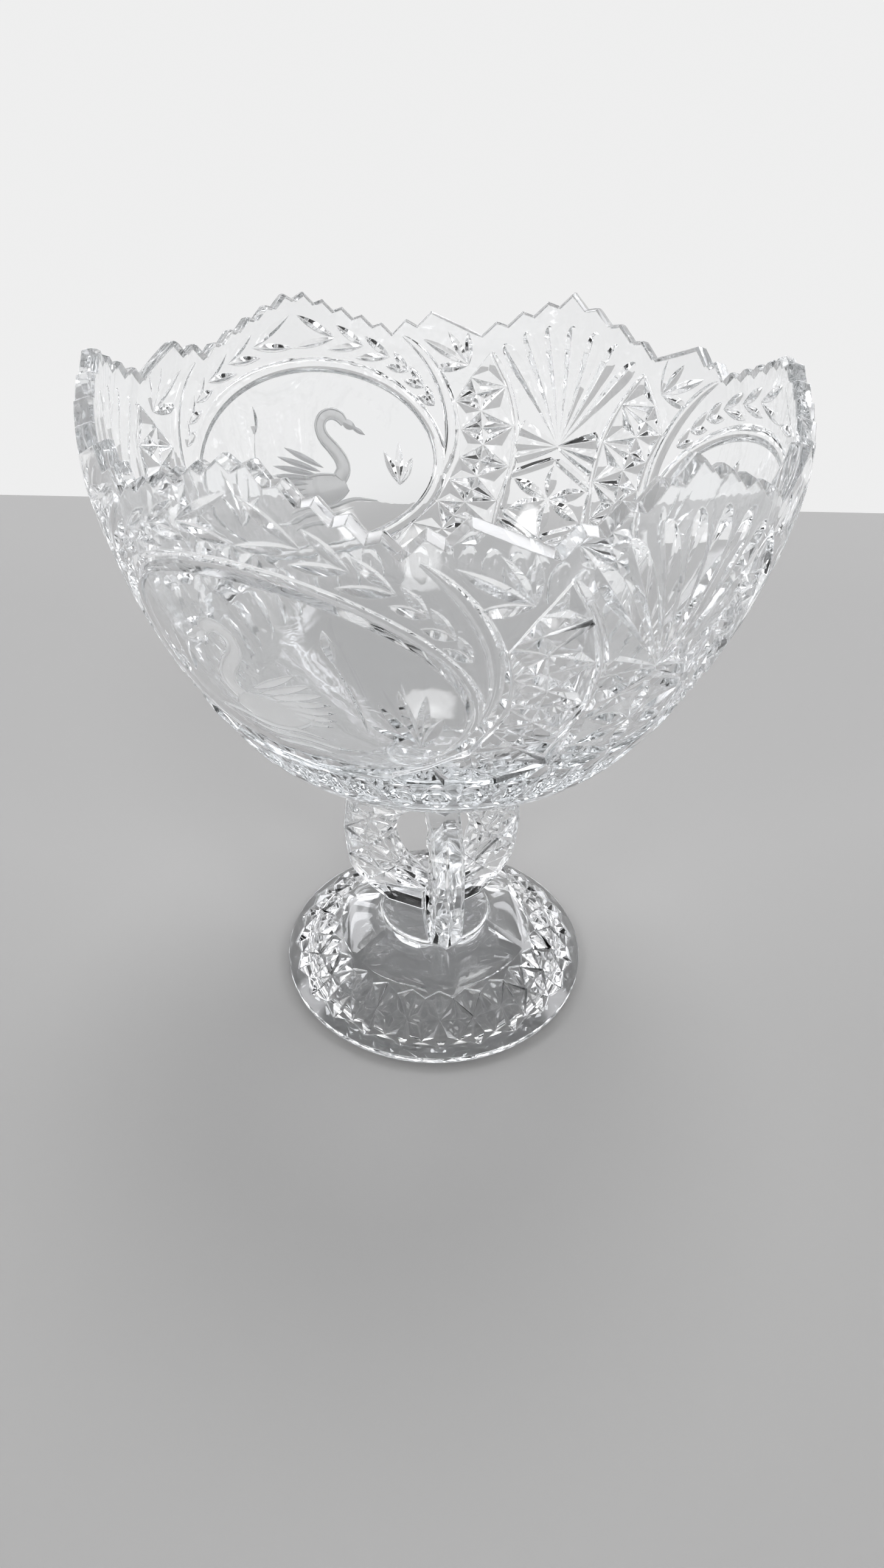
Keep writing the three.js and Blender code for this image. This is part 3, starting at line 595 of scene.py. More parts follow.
def medallion_cuts(face):
    """The gutter round a medallion, a crescent on each side of it and the leaves of its wreath."""
    steps = MEDALLION_STEPS
    ring = ellipse(MEDALLION_HALF_WIDTH, MEDALLION_HALF_HEIGHT, steps, (0.0, MEDALLION_DROP))
    cuts = [round_cut(face, ring, [GUTTER_WIDTH] * steps, [GUTTER_DEPTH] * steps, loop=True)]
    low, high = map(math.radians, CRESCENT_ENDS)
    for side in (-1, 1):
        arc = []
        for angle in np.linspace(low, high, CRESCENT_STEPS):
            x = CRESCENT_CENTRE[0] + CRESCENT_RADIUS * math.cos(angle)
            arc.append((side * x, CRESCENT_CENTRE[1] - CRESCENT_RADIUS * math.sin(angle)))
        cuts.append(line_cut(face, arc, CRESCENT_WIDTH, CRESCENT_DEPTH))
        for (x, y), direction, upper, lower in WREATH:
            for length, turn in ((upper, WREATH_OPENING), (lower, -WREATH_OPENING)):
                angle = math.radians(direction + turn)
                start = (side * x, MEDALLION_DROP - y)
                end = (side * (x - length * math.cos(angle)), MEDALLION_DROP - y - length * math.sin(angle))
                cuts.append(v_cut(face, start, end, WREATH_LEAF_WIDTH, WREATH_LEAF_DEPTH))
    return cuts


def border_cuts():
    """The border of short flutes below the pattern, all round the bowl."""
    cuts = []
    for i in range(BORDER_FLUTES):
        face = bowl_face((i + 0.5) * 360 / BORDER_FLUTES)
        path = [(0.0, BORDER_FLUTE_TOP_DROP + BORDER_FLUTE_LENGTH * at) for at, share in BORDER_FLUTE]
        widths = [BORDER_FLUTE_WIDTH * share for at, share in BORDER_FLUTE]
        depths = [BORDER_FLUTE_DEPTH * share for at, share in BORDER_FLUTE]
        cuts.append(round_cut(face, path, widths, depths))
    return cuts


# A swan on the water between reeds: points are across and up from the medallion's middle
# A head or a bill is a stroke: its two ends, width and depth
SWAN_SPAN = (-24.5, 14.0)
SWAN_NECK = [
    (-16.5, 11.5), (-15.0, 14.0), (-12.0, 15.4), (-8.6, 14.6), (-6.8, 11.6), (-7.6, 7.6), (-10.4, 3.6),
    (-12.8, -0.6), (-13.2, -4.6), (-10.6, -8.0),
]
SWAN_NECK_WIDTHS = [(0, 2.4), (0.1, 3.4), (0.5, 3.3), (1, 5.2)]
SWAN_NECK_DEPTH = 0.7
SWAN_BODY_START = (-13.0, -9.4)
SWAN_BODY_LENGTH = 23.0
SWAN_BODY_SAG = 2.6
SWAN_BODY_RISE = 2.4
SWAN_BODY_WIDTH = 11.5
SWAN_BODY_ENDS = (0.12, 0.96)
SWAN_BODY_DEPTH = 0.8
SWAN_LEAST_DEPTH = 0.08
SWAN_OUTLINE_WIDTH = 1.0
SWAN_OUTLINE_DEPTH = 0.7
SWAN_OUTLINE_ENDS = 0.5
SWAN_HEAD = ((-15.4, 12.6), (-20.8, 9.4), 3.6, 1.1)
SWAN_BILL = ((-18.8, 10.4), (-24.0, 6.8), 1.8, 0.8)
SWAN_FEATHERS = [
    ((-5.5, -3.0), (9.0, 6.5)), ((-4.0, -4.2), (12.5, 4.0)), ((-3.0, -5.4), (15.0, 1.2)),
    ((-2.0, -6.8), (16.5, -1.8)), ((-1.0, -8.2), (17.0, -4.8)), ((0.0, -9.6), (16.5, -7.8)),
    ((0.5, -11.0), (15.0, -10.6)),
]
FEATHER_WIDTH = 2.3
FEATHER_DEPTH = 1.1
SWAN_DOTS = [(-9.0, -6.2), (-6.0, -7.4), (-8.0, -9.6), (-4.6, -10.4), (-1.2, -11.8), (-7.0, -12.6)]
DOT_HALF_LENGTH = 0.9
DOT_WIDTH = 1.4
DOT_DEPTH = 0.6
REED_TUFTS = [
    ((36.0, -15.0), [(25.5, -7.5), (28.5, 1.5), (34.0, 7.0), (40.5, 5.5), (43.5, -2.5)]),
    ((-34.0, -12.0), [(-41.0, -2.0), (-36.5, 4.0), (-30.0, 1.0)]),
]
REED_WIDTH = 3.2
REED_DEPTH = 1.5
# Each line of water runs from one place across to another at a height
WATER_LINES = [(-24.0, 12.0, -16.4), (-14.0, 20.0, -19.4), (-6.0, 12.0, -22.6)]
WAVE_HEIGHT = 0.7
WAVE_LENGTH = 3.2
WATER_WIDTH = 1.7
WATER_DEPTH = 0.7
BULRUSH_FOOT = (24.0, -10.0)
BULRUSH_LEAN = 4.0
BULRUSH_HEIGHT = 24.0
BULRUSH_STEM_WIDTH = 1.2
BULRUSH_STEM_DEPTH = 0.6
BULRUSH_HEAD = ((20.2, 12.6), (19.2, 22.4), 3.4, 1.3)


def outlined(face, path, widths, depth):
    """A soft hollow along a path, with a fine sharp line along each of its sides."""
    path = np.array(path, float)
    widths = np.array(widths)
    runs = np.gradient(path, axis=0)
    sides = np.stack([-runs[:, 1], runs[:, 0]], axis=1) / np.hypot(*runs.T)[:, None] * widths[:, None] / 2
    depths = np.maximum(depth * widths / widths.max(), SWAN_LEAST_DEPTH)
    cuts = [round_cut(face, path, widths, depths)]
    for side in (-1, 1):
        edge = path + side * sides
        cuts.append(line_cut(face, edge, SWAN_OUTLINE_WIDTH, SWAN_OUTLINE_DEPTH, SWAN_OUTLINE_ENDS))
    return cuts


def swan_cuts(face):
    """The swan with reeds, a bulrush and lines of water, on a medallion's panel."""
    def at(point):
        return (point[0], MEDALLION_DROP - point[1])

    def stroke(start, end, width, depth):
        return v_cut(face, at(start), at(end), width, depth)

    neck = [at(p) for p in Profile(SWAN_NECK, SWAN_NECK_STEPS).line[::2]]
    neck_widths = np.interp(np.linspace(0, 1, len(neck)), *zip(*SWAN_NECK_WIDTHS))
    cuts = outlined(face, neck, neck_widths, SWAN_NECK_DEPTH)
    body = []
    body_widths = []
    first, last = SWAN_BODY_ENDS
    for t in np.linspace(0, 1, SWAN_BODY_STEPS):
        sag = SWAN_BODY_SAG * math.sin(math.pi * t)
        x = SWAN_BODY_START[0] + SWAN_BODY_LENGTH * t
        body.append(at((x, SWAN_BODY_START[1] - sag + SWAN_BODY_RISE * t)))
        swell = math.sin(math.pi * (first + (last - first) * t)) ** LINE_SWELL
        body_widths.append(SWAN_BODY_WIDTH * swell)
    cuts += outlined(face, body, body_widths, SWAN_BODY_DEPTH)
    cuts += [stroke(*SWAN_HEAD), stroke(*SWAN_BILL)]
    for start, end in SWAN_FEATHERS:
        cuts.append(stroke(start, end, FEATHER_WIDTH, FEATHER_DEPTH))
    for x, y in SWAN_DOTS:
        cuts.append(stroke((x - DOT_HALF_LENGTH, y), (x + DOT_HALF_LENGTH, y), DOT_WIDTH, DOT_DEPTH))
    for base, tips in REED_TUFTS:
        cuts += [stroke(base, tip, REED_WIDTH, REED_DEPTH) for tip in tips]
    for start, end, height in WATER_LINES:
        across = np.linspace(start, end, WAVE_STEPS)
        wave = [at((x, height + WAVE_HEIGHT * math.sin(x / WAVE_LENGTH))) for x in across]
        cuts.append(line_cut(face, wave, WATER_WIDTH, WATER_DEPTH))
    stem = []
    for t in np.linspace(0, 1, BULRUSH_STEPS):
        stem.append(at((BULRUSH_FOOT[0] - BULRUSH_LEAN * t * t, BULRUSH_FOOT[1] + BULRUSH_HEIGHT * t)))
    cuts.append(line_cut(face, stem, BULRUSH_STEM_WIDTH, BULRUSH_STEM_DEPTH))
    cuts.append(stroke(*BULRUSH_HEAD))
    return cuts


def bowl_solid():
    """The bowl before it is cut: turned, with a wall that thickens towards the floor."""
    outline = [
        (0.0, BOWL_BASE), (BOWL_BASE_RADIUS - BOWL_BASE_BEVEL, BOWL_BASE),
        (BOWL_BASE_RADIUS, BOWL_BASE + BOWL_BASE_BEVEL),
    ]
    for distance in np.linspace(0, bowl_profile.length, BOWL_OUTER_ROWS):
        outline.append(tuple(bowl_profile.at(distance)[0]))
    inner = []
    for share in np.linspace(1, 0, BOWL_INNER_ROWS):
        point, run = bowl_profile.at(share * bowl_profile.length)
        thickness = np.interp(share, (0, EVEN_WALL_FROM), (BOWL_FLOOR_THICKNESS, WALL))
        inner.append((point[0] - run[1] * thickness, point[1] + run[0] * thickness))
    radius, height = inner[-1]
    outline += inner
    at, dip = BOWL_FLOOR_RING
    outline += [(radius * at, height - dip * BOWL_FLOOR_DIP), (0.0, height - BOWL_FLOOR_DIP)]
    return turned(outline, BOWL_STEPS)


def bowl_cutters():
    cutters = [rim_cutter(), *border_cuts()]
    for i in range(REPEATS):
        medallion = bowl_face(i * REPEAT_ANGLE)
        fan = bowl_face((i + 0.5) * REPEAT_ANGLE)
        cutters += medallion_cuts(medallion) + swan_cuts(medallion)
        cutters += fan_cuts(fan) + hexagon_cuts(fan) + column_cuts(fan)
    return cutters


# Foot

def foot_solid():
    """The foot before it is cut: a low cone with a collar, hollow underneath."""
    recess_rim = FOOT_RADIUS - FOOT_EDGE_BEVEL - STANDING_RING_WIDTH
    ceiling = COLLAR_HEIGHT - FOOT_THICKNESS
    outline = []
    for angle in np.linspace(0, math.pi / 2, FOOT_RECESS_ROWS):
        outline.append((recess_rim * math.sin(angle), max(0.0, ceiling * math.cos(angle))))
    outline += [
        (FOOT_RADIUS - FOOT_EDGE_BEVEL, 0.0), (FOOT_RADIUS - FOOT_EDGE_EASE, FOOT_EDGE_EASE),
        (FOOT_RADIUS, FOOT_EDGE_BEVEL), (FOOT_RADIUS, FOOT_EDGE_HEIGHT - FOOT_TOP_BEVEL_DOWN),
    ]
    for distance in np.linspace(FOOT_TOP_BEVEL_IN, foot_profile.length, FOOT_SLOPE_ROWS):
        outline.append(tuple(foot_profile.at(distance)[0]))
    for angle in np.linspace(COLLAR_BEVEL_START, math.pi / 2, COLLAR_ROWS):
        outline.append((
            COLLAR_RADIUS + COLLAR_BEVEL * math.cos(angle),
            COLLAR_HEIGHT - COLLAR_BEVEL * (1 - math.sin(angle)),
        ))
    outline.append((0.0, COLLAR_HEIGHT))
    return turned(outline, FOOT_STEPS)


# Stars of the foot: distances from its edge, up the slope
STAR_TIP = FOOT_STAR_TIP_INSET
STAR_NOTCH = FOOT_STAR_TIP_INSET + FOOT_SCALLOP
STAR_INNER_TIP = FOOT_STAR_TIP_INSET + FOOT_STAR_LENGTH


def foot_round(step, y, out):
    """The foot's cone by half star steps round the axis, so that neighbouring stars share their corners."""
    steps = 2 * FOOT_STARS
    return foot_face((step % steps) * 360 / steps)(0.0, y, out)


def foot_star_cuts():
    """A ring of stars of eight rays round the foot: the valleys between the points that fill them."""
    middle = (STAR_TIP + STAR_INNER_TIP) / 2
    cuts = []
    for i in range(FOOT_STARS):
        for side in (-1, 1):
            beside = 2 * i + side
            rim = [
                (2 * i, STAR_TIP), (beside, STAR_NOTCH), (beside, middle),
                (beside, STAR_INNER_TIP - FOOT_SCALLOP), (2 * i, STAR_INNER_TIP),
            ]
            for a, b in zip(rim, rim[1:]):
                cuts.append(pyramid(foot_round, ((2 * i, middle), a, b), FOOT_STAR_POINT_DEPTH))
    return cuts


def foot_rim_cutter():
    """Lowers the plain rim outside the stars, along a line that is scalloped between their tips."""
    sections = []
    turns = FOOT_STARS * FOOT_RIM_STEPS
    run_r, run_z = foot_profile.at(0)[1]
    for i in range(turns):
        between = (i * FOOT_STARS / turns) % 1
        inset = STAR_TIP + FOOT_RIM_LAP + FOOT_SCALLOP * 4 * between * (1 - between)
        face = foot_face(i * 360 / turns)

        def beyond(out):
            x, y, z = face(0, 0, out)
            longer = 1 - run_r * STAR_NOTCH / math.hypot(x, y)
            return (x * longer, y * longer, z - run_z * STAR_NOTCH)

        sections.append([
            face(0, inset, -FOOT_RIM_STEP), beyond(-FOOT_RIM_STEP), beyond(STAR_NOTCH),
            face(0, inset, CUTTER_LIFT),
        ])
    return loft(sections, loop=True)


def foot_panel_cuts():
    """Six hollow panels between the ribs that run from the collar to the stars."""
    start = STAR_INNER_TIP + FOOT_PANEL_INSET
    end = foot_profile.length - FOOT_PANEL_INSET
    along = np.linspace(0, 1, FOOT_PANEL_ROWS)
    across = np.linspace(-1, 1, FOOT_PANEL_COLUMNS)
    cuts = []
    for i in range(FOOT_PANELS):
        face = foot_face(ARM_AZIMUTH + (i + 0.5) * 360 / FOOT_PANELS)
        sections = []
        for t, y in zip(along, np.linspace(start, end, FOOT_PANEL_ROWS)):
            share = (1 - (2 * t - 1) ** 4) * (1 - FOOT_PANEL_END_DEPTH) + FOOT_PANEL_END_DEPTH
            depth = FOOT_PANEL_DEPTH * share
            reach = math.pi * foot_profile.at(y)[0][0] / FOOT_PANELS - FOOT_RIB_WIDTH / 2
            low = [face(reach * u, y, -depth * (1 - u * u) ** FOOT_PANEL_ROUNDNESS) for u in across]
            top = [face(-reach * u, y, 2 * CUTTER_LIFT) for u in across]
            sections.append(low + top)
        cuts.append(loft(sections))
    return cuts


def foot_cutters():
    return [*foot_star_cuts(), foot_rim_cutter(), *foot_panel_cuts()]


# Stem arms

def arm_edges():
    """The lower half of an arm's outer edge and of its window, as radius and height above the collar."""
    outer = Profile([(COLLAR_RADIUS + COLLAR_BEVEL, 0.0), *ARM_OUTER_EDGE, (ARM_REACH, STEM_MIDDLE)])
    inner = Profile([
        (-ARM_THICKNESS, HUB_HEIGHT - ARM_WINDOW_SLOPE * ARM_THICKNESS), (0.0, HUB_HEIGHT),
        *ARM_WINDOW_EDGE, (ARM_WINDOW_REACH, STEM_MIDDLE),
    ])
    return outer, inner


def arm_solid():
    """An arm along the x axis, not yet cut, with a ridge along its outer edge."""
    outer, inner = arm_edges()
    half = ARM_THICKNESS / 2
    rise = [(np.array((COLLAR_RADIUS, -SEAT_GAP)), np.array((-ARM_THICKNESS, -SEAT_GAP)))]
    for share in np.linspace(0, 1, ARM_ROWS):
        rise.append([np.array(edge.at(share * edge.length)[0]) for edge in (outer, inner)])
    flipped = [[np.array((p[0], STEM_HEIGHT - p[1])) for p in pair] for pair in rise[-2::-1]]
    sections = []
    for outer_point, inner_point in [*rise, *flipped]:
        inward = inner_point - outer_point
        inward = inward / np.hypot(*inward)
        shoulder = outer_point + inward * ARM_RIDGE
        inner_shoulder = inner_point - inward * ARM_INNER_RIDGE
        ring = [
            (outer_point, 0.0), (shoulder, half), (inner_shoulder, half),
            (inner_point, half * ARM_INNER_FLAT), (inner_point, -half * ARM_INNER_FLAT),
            (inner_shoulder, -half), (shoulder, -half),
        ]
        sections.append([(p[0], across, COLLAR_HEIGHT + p[1]) for p, across in ring])
    return loft(sections)


def arm_room():
    """What lies outside the arm's own third round the axis and outside its two seats, as three cutters."""
    far = 3 * ARM_REACH
    half_angle = math.pi / ARM_COUNT
    apex = SEAT_GAP / 2 / math.sin(half_angle)
    low = COLLAR_HEIGHT - ARM_THICKNESS
    high = COLLAR_HEIGHT + STEM_HEIGHT + ARM_THICKNESS
    outline = [(apex, 0.0)]
    for angle in np.linspace(half_angle, 2 * math.pi - half_angle, ARM_ROOM_STEPS):
        outline.append((apex + far * math.cos(angle), far * math.sin(angle)))
    wedge = loft([[(x, y, z) for x, y in outline] for z in (low, high)])
    slabs = []
    for z0, z1 in ((low, COLLAR_HEIGHT + SEAT_GAP), (COLLAR_HEIGHT + STEM_HEIGHT - SEAT_GAP, high)):
        square = [(-far, -far), (far, -far), (far, far), (-far, far)]
        slabs.append(loft([[(x, y, z) for x, y in square] for z in (z0, z1)]))
    return [wedge, *slabs]


def arm_cutters():
    """The stars on both flat sides of an arm, below and above its middle."""
    outer, inner = arm_edges()
    stations = []
    for share in (*ARM_STAR_STATIONS, 1.0):
        stations.append([np.array(edge.at(share * edge.length)[0]) for edge in (outer, inner)])
    cuts = []
    for side in (-1, 1):
        for upright in (-1, 1):
            def face(x, y, out):
                rise = STEM_MIDDLE + upright * (y - STEM_MIDDLE)
                return (x, side * (ARM_THICKNESS / 2 + out), COLLAR_HEIGHT + rise)

            for start, end in zip(stations, stations[1:]):
                corners = []
                for outer_point, inner_point in (start, end):
                    inward = (inner_point - outer_point) / np.hypot(*(inner_point - outer_point))
                    corners.append((
                        outer_point + inward * (ARM_RIDGE + ARM_STAR_INSET),
                        inner_point - inward * (ARM_INNER_RIDGE + ARM_STAR_INSET),
                    ))
                (a, b), (d, c) = corners
                cuts += cell_star(face, (a, b, c, d), ARM_POINT_DEPTH)
    return cuts


# Meshes and objects

def mesh_of(name, points, faces):
    mesh = bpy.data.meshes.new(name)
    mesh.from_pydata([tuple(MM * v for v in p) for p in points], [], [tuple(f) for f in faces])
    mesh.update()
    return mesh


def carve(name, body, cutters):
    """The body less all its cutters, as a new object with crisp edges where its faces meet at an angle."""
    scene = bpy.context.scene
    blank = bpy.data.objects.new(name + "_blank", mesh_of(name, *body))
    scene.collection.objects.link(blank)
    group = bpy.data.collections.new(name + "_cutters")
    scene.collection.children.link(group)
    for cutter in cutters:
        group.objects.link(bpy.data.objects.new("cutter", mesh_of("cutter", *cutter)))
    cut = blank.modifiers.new("cuts", "BOOLEAN")
    cut.operation = "DIFFERENCE"
    cut.operand_type = "COLLECTION"
    cut.collection = group
    cut.solver = "MANIFOLD"
    mesh = bpy.data.meshes.new_from_object(blank.evaluated_get(bpy.context.evaluated_depsgraph_get()))
    for tool in [*group.objects, blank]:
        bpy.data.objects.remove(tool)
    bpy.data.collections.remove(group)
    mesh.name = name
    mesh.materials.clear()
    mesh.shade_smooth()
    mesh.set_sharp_from_angle(angle=math.radians(SHARP_ANGLE))
    piece = bpy.data.objects.new(name, mesh)
    scene.collection.objects.link(piece)
    return piece


# Crystal: a texture is its noise scale for a metre and its detail
CRYSTAL_COLOUR = (0.99, 0.995, 1.0, 1.0)
CRYSTAL_IOR = 1.54
CRYSTAL_TINT = (0.79, 0.805, 0.81, 1.0)
CRYSTAL_TINT_DENSITY = 11.0
RIPPLE = (80.0, 3.0)
GRAIN = (2200.0, 2.0)
CLEAR_ROUGHNESS = (0.0, 0.03)
SATIN_ROUGHNESS = (0.12, 0.3)
SATIN_TRANSMISSION = 0.4
BUMP_DISTANCE = 0.06 * MM
EDGE_ROUNDING = 0.45 * MM


def crystal_material():
    """Clear crystal, faintly uneven as pressed and polished glass is, and satin where its frost is one."""
    material = bpy.data.materials.new("crystal")
    material.use_nodes = True
    nodes = material.node_tree.nodes
    links = material.node_tree.links
    shader = nodes["Principled BSDF"]
    shader.inputs["Base Color"].default_value = CRYSTAL_COLOUR
    shader.inputs["Transmission Weight"].default_value = 1.0
    shader.inputs["IOR"].default_value = CRYSTAL_IOR
    place = nodes.new("ShaderNodeTexCoord").outputs["Object"]
    frost = nodes.new("ShaderNodeAttribute")
    frost.attribute_name = "frost"

    def noise(scale, detail):
        texture = nodes.new("ShaderNodeTexNoise")
        texture.inputs["Scale"].default_value = scale
        texture.inputs["Detail"].default_value = detail
        links.new(place, texture.inputs["Vector"])
        return texture.outputs["Fac"]

    def spread(value, low, high):
        ramp = nodes.new("ShaderNodeMapRange")
        ramp.inputs["To Min"].default_value = low
        ramp.inputs["To Max"].default_value = high
        links.new(value, ramp.inputs["Value"])
        return ramp.outputs["Result"]

    def choose(clear, satin):
        mix = nodes.new("ShaderNodeMix")
        links.new(frost.outputs["Fac"], mix.inputs["Factor"])
        links.new(clear, mix.inputs["A"])
        links.new(satin, mix.inputs["B"])
        return mix.outputs["Result"]

    clearness = spread(frost.outputs["Fac"], 1.0, SATIN_TRANSMISSION)
    links.new(clearness, shader.inputs["Transmission Weight"])
    ripple = noise(*RIPPLE)
    grain = noise(*GRAIN)
    roughness = choose(spread(ripple, *CLEAR_ROUGHNESS), spread(grain, *SATIN_ROUGHNESS))
    links.new(roughness, shader.inputs["Roughness"])
    edge = nodes.new("ShaderNodeBevel")
    edge.samples = 4
    edge.inputs["Radius"].default_value = EDGE_ROUNDING
    bump = nodes.new("ShaderNodeBump")
    bump.inputs["Distance"].default_value = BUMP_DISTANCE
    links.new(edge.outputs["Normal"], bump.inputs["Normal"])
    links.new(choose(ripple, grain), bump.inputs["Height"])
    links.new(bump.outputs["Normal"], shader.inputs["Normal"])
    tint = nodes.new("ShaderNodeVolumeAbsorption")
    tint.inputs["Color"].default_value = CRYSTAL_TINT
    tint.inputs["Density"].default_value = CRYSTAL_TINT_DENSITY
    links.new(tint.outputs["Volume"], nodes["Material Output"].inputs["Volume"])
    return material


def frost_figures(piece):
    """Sets frost to one on every face of the piece that belongs to a swan cut into a medallion's panel."""
    inner_width = MEDALLION_HALF_WIDTH - GUTTER_WIDTH / 2 - FROST_INSET
    inner_height = MEDALLION_HALF_HEIGHT - GUTTER_WIDTH / 2 - FROST_INSET
    heights = bowl_profile.line[:, 1]
    centres = np.array([polygon.center for polygon in piece.data.polygons]) / MM
    radius = np.hypot(centres[:, 0], centres[:, 1])
    angle = np.arctan2(centres[:, 1], centres[:, 0])
    repeat = math.radians(REPEAT_ANGLE)
    across = radius * (angle - np.round(angle / repeat) * repeat)
    wall_radius = np.interp(centres[:, 2], heights, bowl_profile.line[:, 0])
    drop = bowl_profile.length - np.interp(centres[:, 2], heights, bowl_profile.measure)
    depth = wall_radius - radius
    inside = (across / inner_width) ** 2 + ((drop - MEDALLION_DROP) / inner_height) ** 2 < 1
    swan = (across > SWAN_SPAN[0]) & (across < SWAN_SPAN[1])
    cut = inside & swan & (depth > FROST_LEAST_DEPTH) & (depth < WALL / 2)
    frost = piece.data.attributes.new("frost", "FLOAT", "FACE")
    frost.data.foreach_set("value", cut.astype(float))


# Pieces

crystal = crystal_material()
bowl = carve("crystal_bowl", bowl_solid(), bowl_cutters())
bowl.data.materials.append(crystal)
frost_figures(bowl)
foot = carve("crystal_foot", foot_solid(), foot_cutters())
foot.data.materials.append(crystal)
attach(bowl, "root")
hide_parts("bowl")
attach(foot, "root")
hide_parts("foot")
arm_blank = carve("crystal_arm", arm_solid(), arm_room() + arm_cutters())
arm_mesh = arm_blank.data
bpy.data.objects.remove(arm_blank)
for i in range(ARM_COUNT):
    name = f"stem_arm_{i + 1}"
    mesh = arm_mesh.copy()
    mesh.transform(Matrix.Rotation(math.radians(ARM_AZIMUTH + i * 360 / ARM_COUNT), 4, "Z"))
    mesh.materials.append(crystal)
    arm = bpy.data.objects.new("crystal_" + name, mesh)
    bpy.context.scene.collection.objects.link(arm)
    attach(arm, "root")
    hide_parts(name)


# Stage: a pale floor in front of a paler studio sky, seen as in the photograph, with angles in degrees
CAMERA_PLACE = Vector((-17.6, -290.9, 295.9)) * MM
CAMERA_HEADING = 3.75
CAMERA_PITCH = 36.26
CAMERA_ROLL = 1.5
FLOOR_END_DISTANCE = 779.0 * MM
FLOOR_TURN = 0.8
FLOOR_REACH = 900.0 * MM
FLOOR_CLEARANCE = 0.2 * MM
FLOOR_COLOUR = (0.42, 0.417, 0.412, 1.0)


def make_floor():
    """A pale floor whose far edge lies behind the bowl, at a distance from the point under the camera."""
    reach = FLOOR_REACH
    forward = Matrix.Rotation(math.radians(-CAMERA_HEADING), 4, "Z")
    turn = Matrix.Rotation(math.radians(FLOOR_TURN), 4, "Z")
    stand = Vector((CAMERA_PLACE.x, CAMERA_PLACE.y, 0.0))
    end = stand + forward @ Vector((0.0, FLOOR_END_DISTANCE, 0.0))
    mesh = bpy.data.meshes.new("floor")
    corners = [(-reach, -2 * reach, 0.0), (reach, -2 * reach, 0.0), (reach, 0.0, 0.0), (-reach, 0.0, 0.0)]
    mesh.from_pydata([end + forward @ turn @ Vector(corner) for corner in corners], [], [(0, 1, 2, 3)])
    floor = bpy.data.objects.new("floor", mesh)
    floor.location.z = -FLOOR_CLEARANCE
    bpy.context.scene.collection.objects.link(floor)
    material = bpy.data.materials.new("pale_floor")
    material.use_nodes = True
    shader = material.node_tree.nodes["Principled BSDF"]
    shader.inputs["Base Color"].default_value = FLOOR_COLOUR
    shader.inputs["Roughness"].default_value = 0.7
    shader.inputs["Specular IOR Level"].default_value = 0.25
    mesh.materials.append(material)


# Studio sky: heights are from nought at the horizon to one overhead
HORIZON_FADE = (0.36, 0.5)
HORIZON_LEVEL = 0.86
UPPER_LEVEL = 0.02
STRIP_HEIGHTS = (0.47, 0.64)
STRIP_SOFTNESS = 0.03
STRIP_FADE = (-0.15, 0.1)
STRIP_LEVEL = 5.8
STRIP_TINT = (0.985, 0.99, 1.02)
# Round lights: direction, angles at which the light is full and gone, and level
ROUND_LIGHTS = [
    ((0.1, 0.3, 1.0), 9, 14, 6.0),
    ((0.15, -0.75, 0.75), 7, 11, 6.0),
    ((-0.68, -0.66, 0.52), 4, 6, 8.0),
    ((0.68, -0.66, 0.52), 4, 6, 8.0),
]


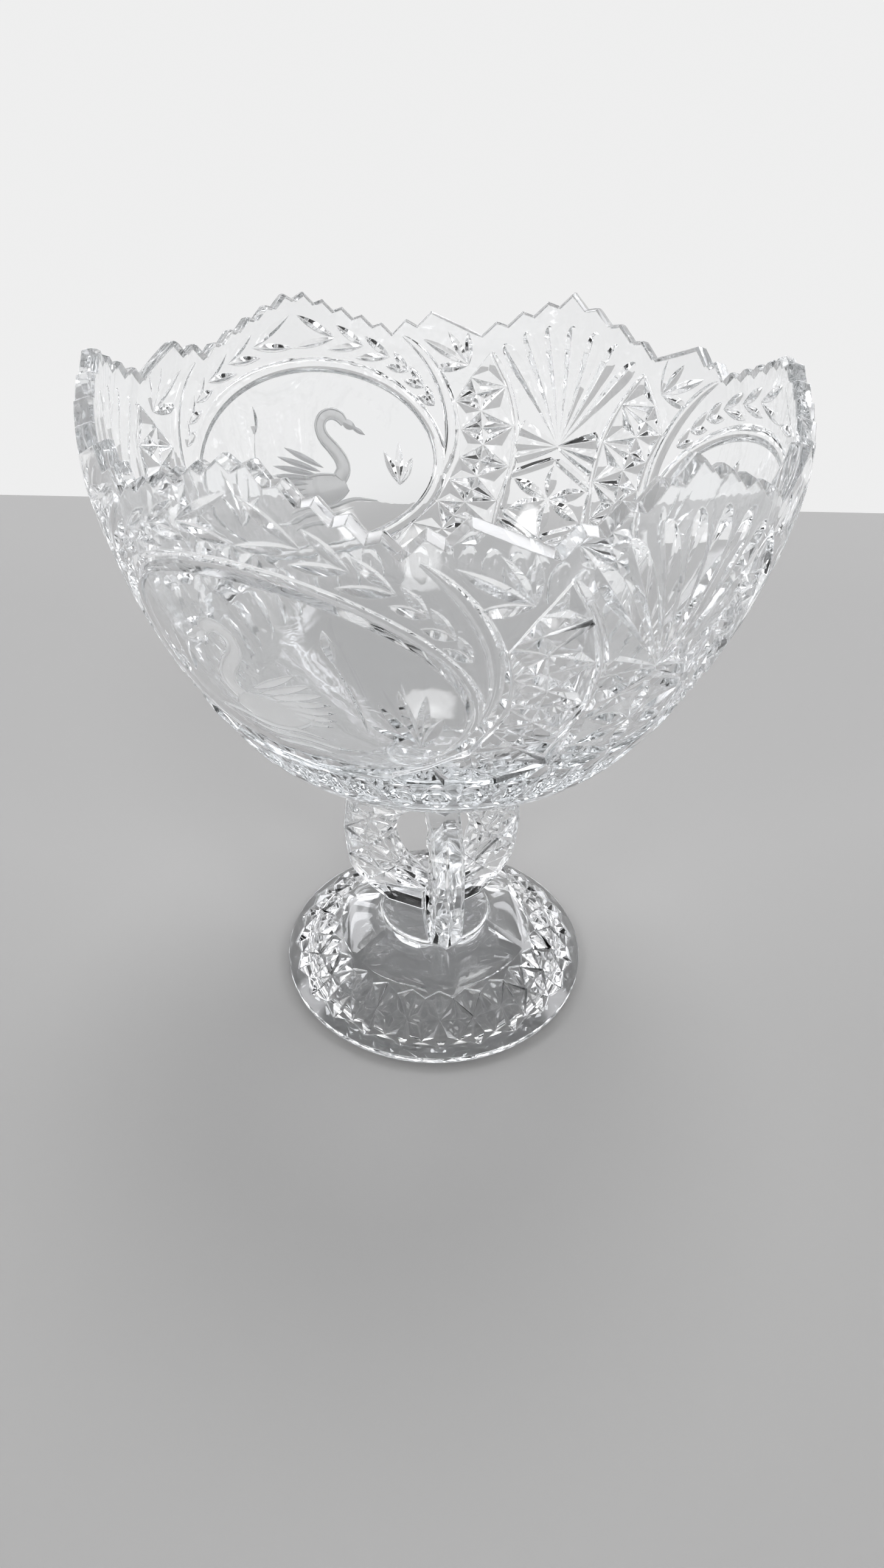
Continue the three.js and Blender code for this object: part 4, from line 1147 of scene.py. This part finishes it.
def make_sky():
    """A studio as a sky: a pale horizon, a dark sky above it, a long light behind and a few round ones."""
    world = bpy.data.worlds.new("studio")
    world.use_nodes = True
    bpy.context.scene.world = world
    nodes = world.node_tree.nodes
    links = world.node_tree.links
    direction = nodes.new("ShaderNodeTexCoord").outputs["Generated"]
    split = nodes.new("ShaderNodeSeparateXYZ")
    links.new(direction, split.inputs[0])

    def ramp(value, start, end, low, high):
        soft = nodes.new("ShaderNodeMapRange")
        soft.interpolation_type = "SMOOTHSTEP"
        soft.inputs["From Min"].default_value = start
        soft.inputs["From Max"].default_value = end
        soft.inputs["To Min"].default_value = low
        soft.inputs["To Max"].default_value = high
        links.new(value, soft.inputs["Value"])
        return soft.outputs["Result"]

    def joined(operation, a, b):
        node = nodes.new("ShaderNodeVectorMath")
        node.operation = operation
        links.new(a, node.inputs[0])
        links.new(b, node.inputs[1])
        return node.outputs["Vector"]

    def round_light(towards, inner, outer, level):
        dot = nodes.new("ShaderNodeVectorMath")
        dot.operation = "DOT_PRODUCT"
        links.new(direction, dot.inputs[0])
        dot.inputs[1].default_value = Vector(towards).normalized()
        edges = [math.cos(math.radians(angle)) for angle in (outer, inner)]
        return ramp(dot.outputs["Value"], *edges, 0.0, level)

    def strip_light():
        """A long light behind the bowl between two heights of the sky, soft at its edges."""
        low, high = ((height - STRIP_SOFTNESS, height + STRIP_SOFTNESS) for height in STRIP_HEIGHTS)
        above = ramp(split.outputs["Z"], *low, 0.0, STRIP_LEVEL)
        below = ramp(split.outputs["Z"], *high, 1.0, 0.0)
        behind = ramp(split.outputs["Y"], *STRIP_FADE, 0.0, 1.0)
        scale = nodes.new("ShaderNodeVectorMath")
        scale.operation = "MULTIPLY"
        scale.inputs[1].default_value = STRIP_TINT
        links.new(joined("MULTIPLY", joined("MULTIPLY", above, below), behind), scale.inputs[0])
        return scale.outputs["Vector"]

    total = ramp(split.outputs["Z"], *HORIZON_FADE, HORIZON_LEVEL, UPPER_LEVEL)
    for light in [strip_light(), *[round_light(*values) for values in ROUND_LIGHTS]]:
        total = joined("ADD", total, light)
    links.new(total, nodes["Background"].inputs["Color"])


def make_camera():
    """The photograph's camera, from a fit: its focal length and height are in pixels of the photograph."""
    focal_pixels = 1664.0
    image_height = 2576
    data = bpy.data.cameras.new("camera")
    data.sensor_fit = "VERTICAL"
    data.sensor_height = 36.0
    data.lens = data.sensor_height * focal_pixels / image_height
    data.clip_start = 0.01
    camera = bpy.data.objects.new("camera", data)
    turn = Matrix.Rotation(math.radians(-CAMERA_HEADING), 4, "Z")
    tilt = Matrix.Rotation(math.radians(90 - CAMERA_PITCH), 4, "X")
    lean = Matrix.Rotation(math.radians(CAMERA_ROLL), 4, "Z")
    camera.matrix_world = Matrix.Translation(CAMERA_PLACE) @ turn @ tilt @ lean
    bpy.context.scene.collection.objects.link(camera)
    bpy.context.scene.camera = camera


make_floor()
make_sky()
make_camera()
cycles = bpy.context.scene.cycles
cycles.max_bounces = 28
cycles.transmission_bounces = 28
cycles.glossy_bounces = 16
bpy.context.scene.view_settings.view_transform = "Standard"
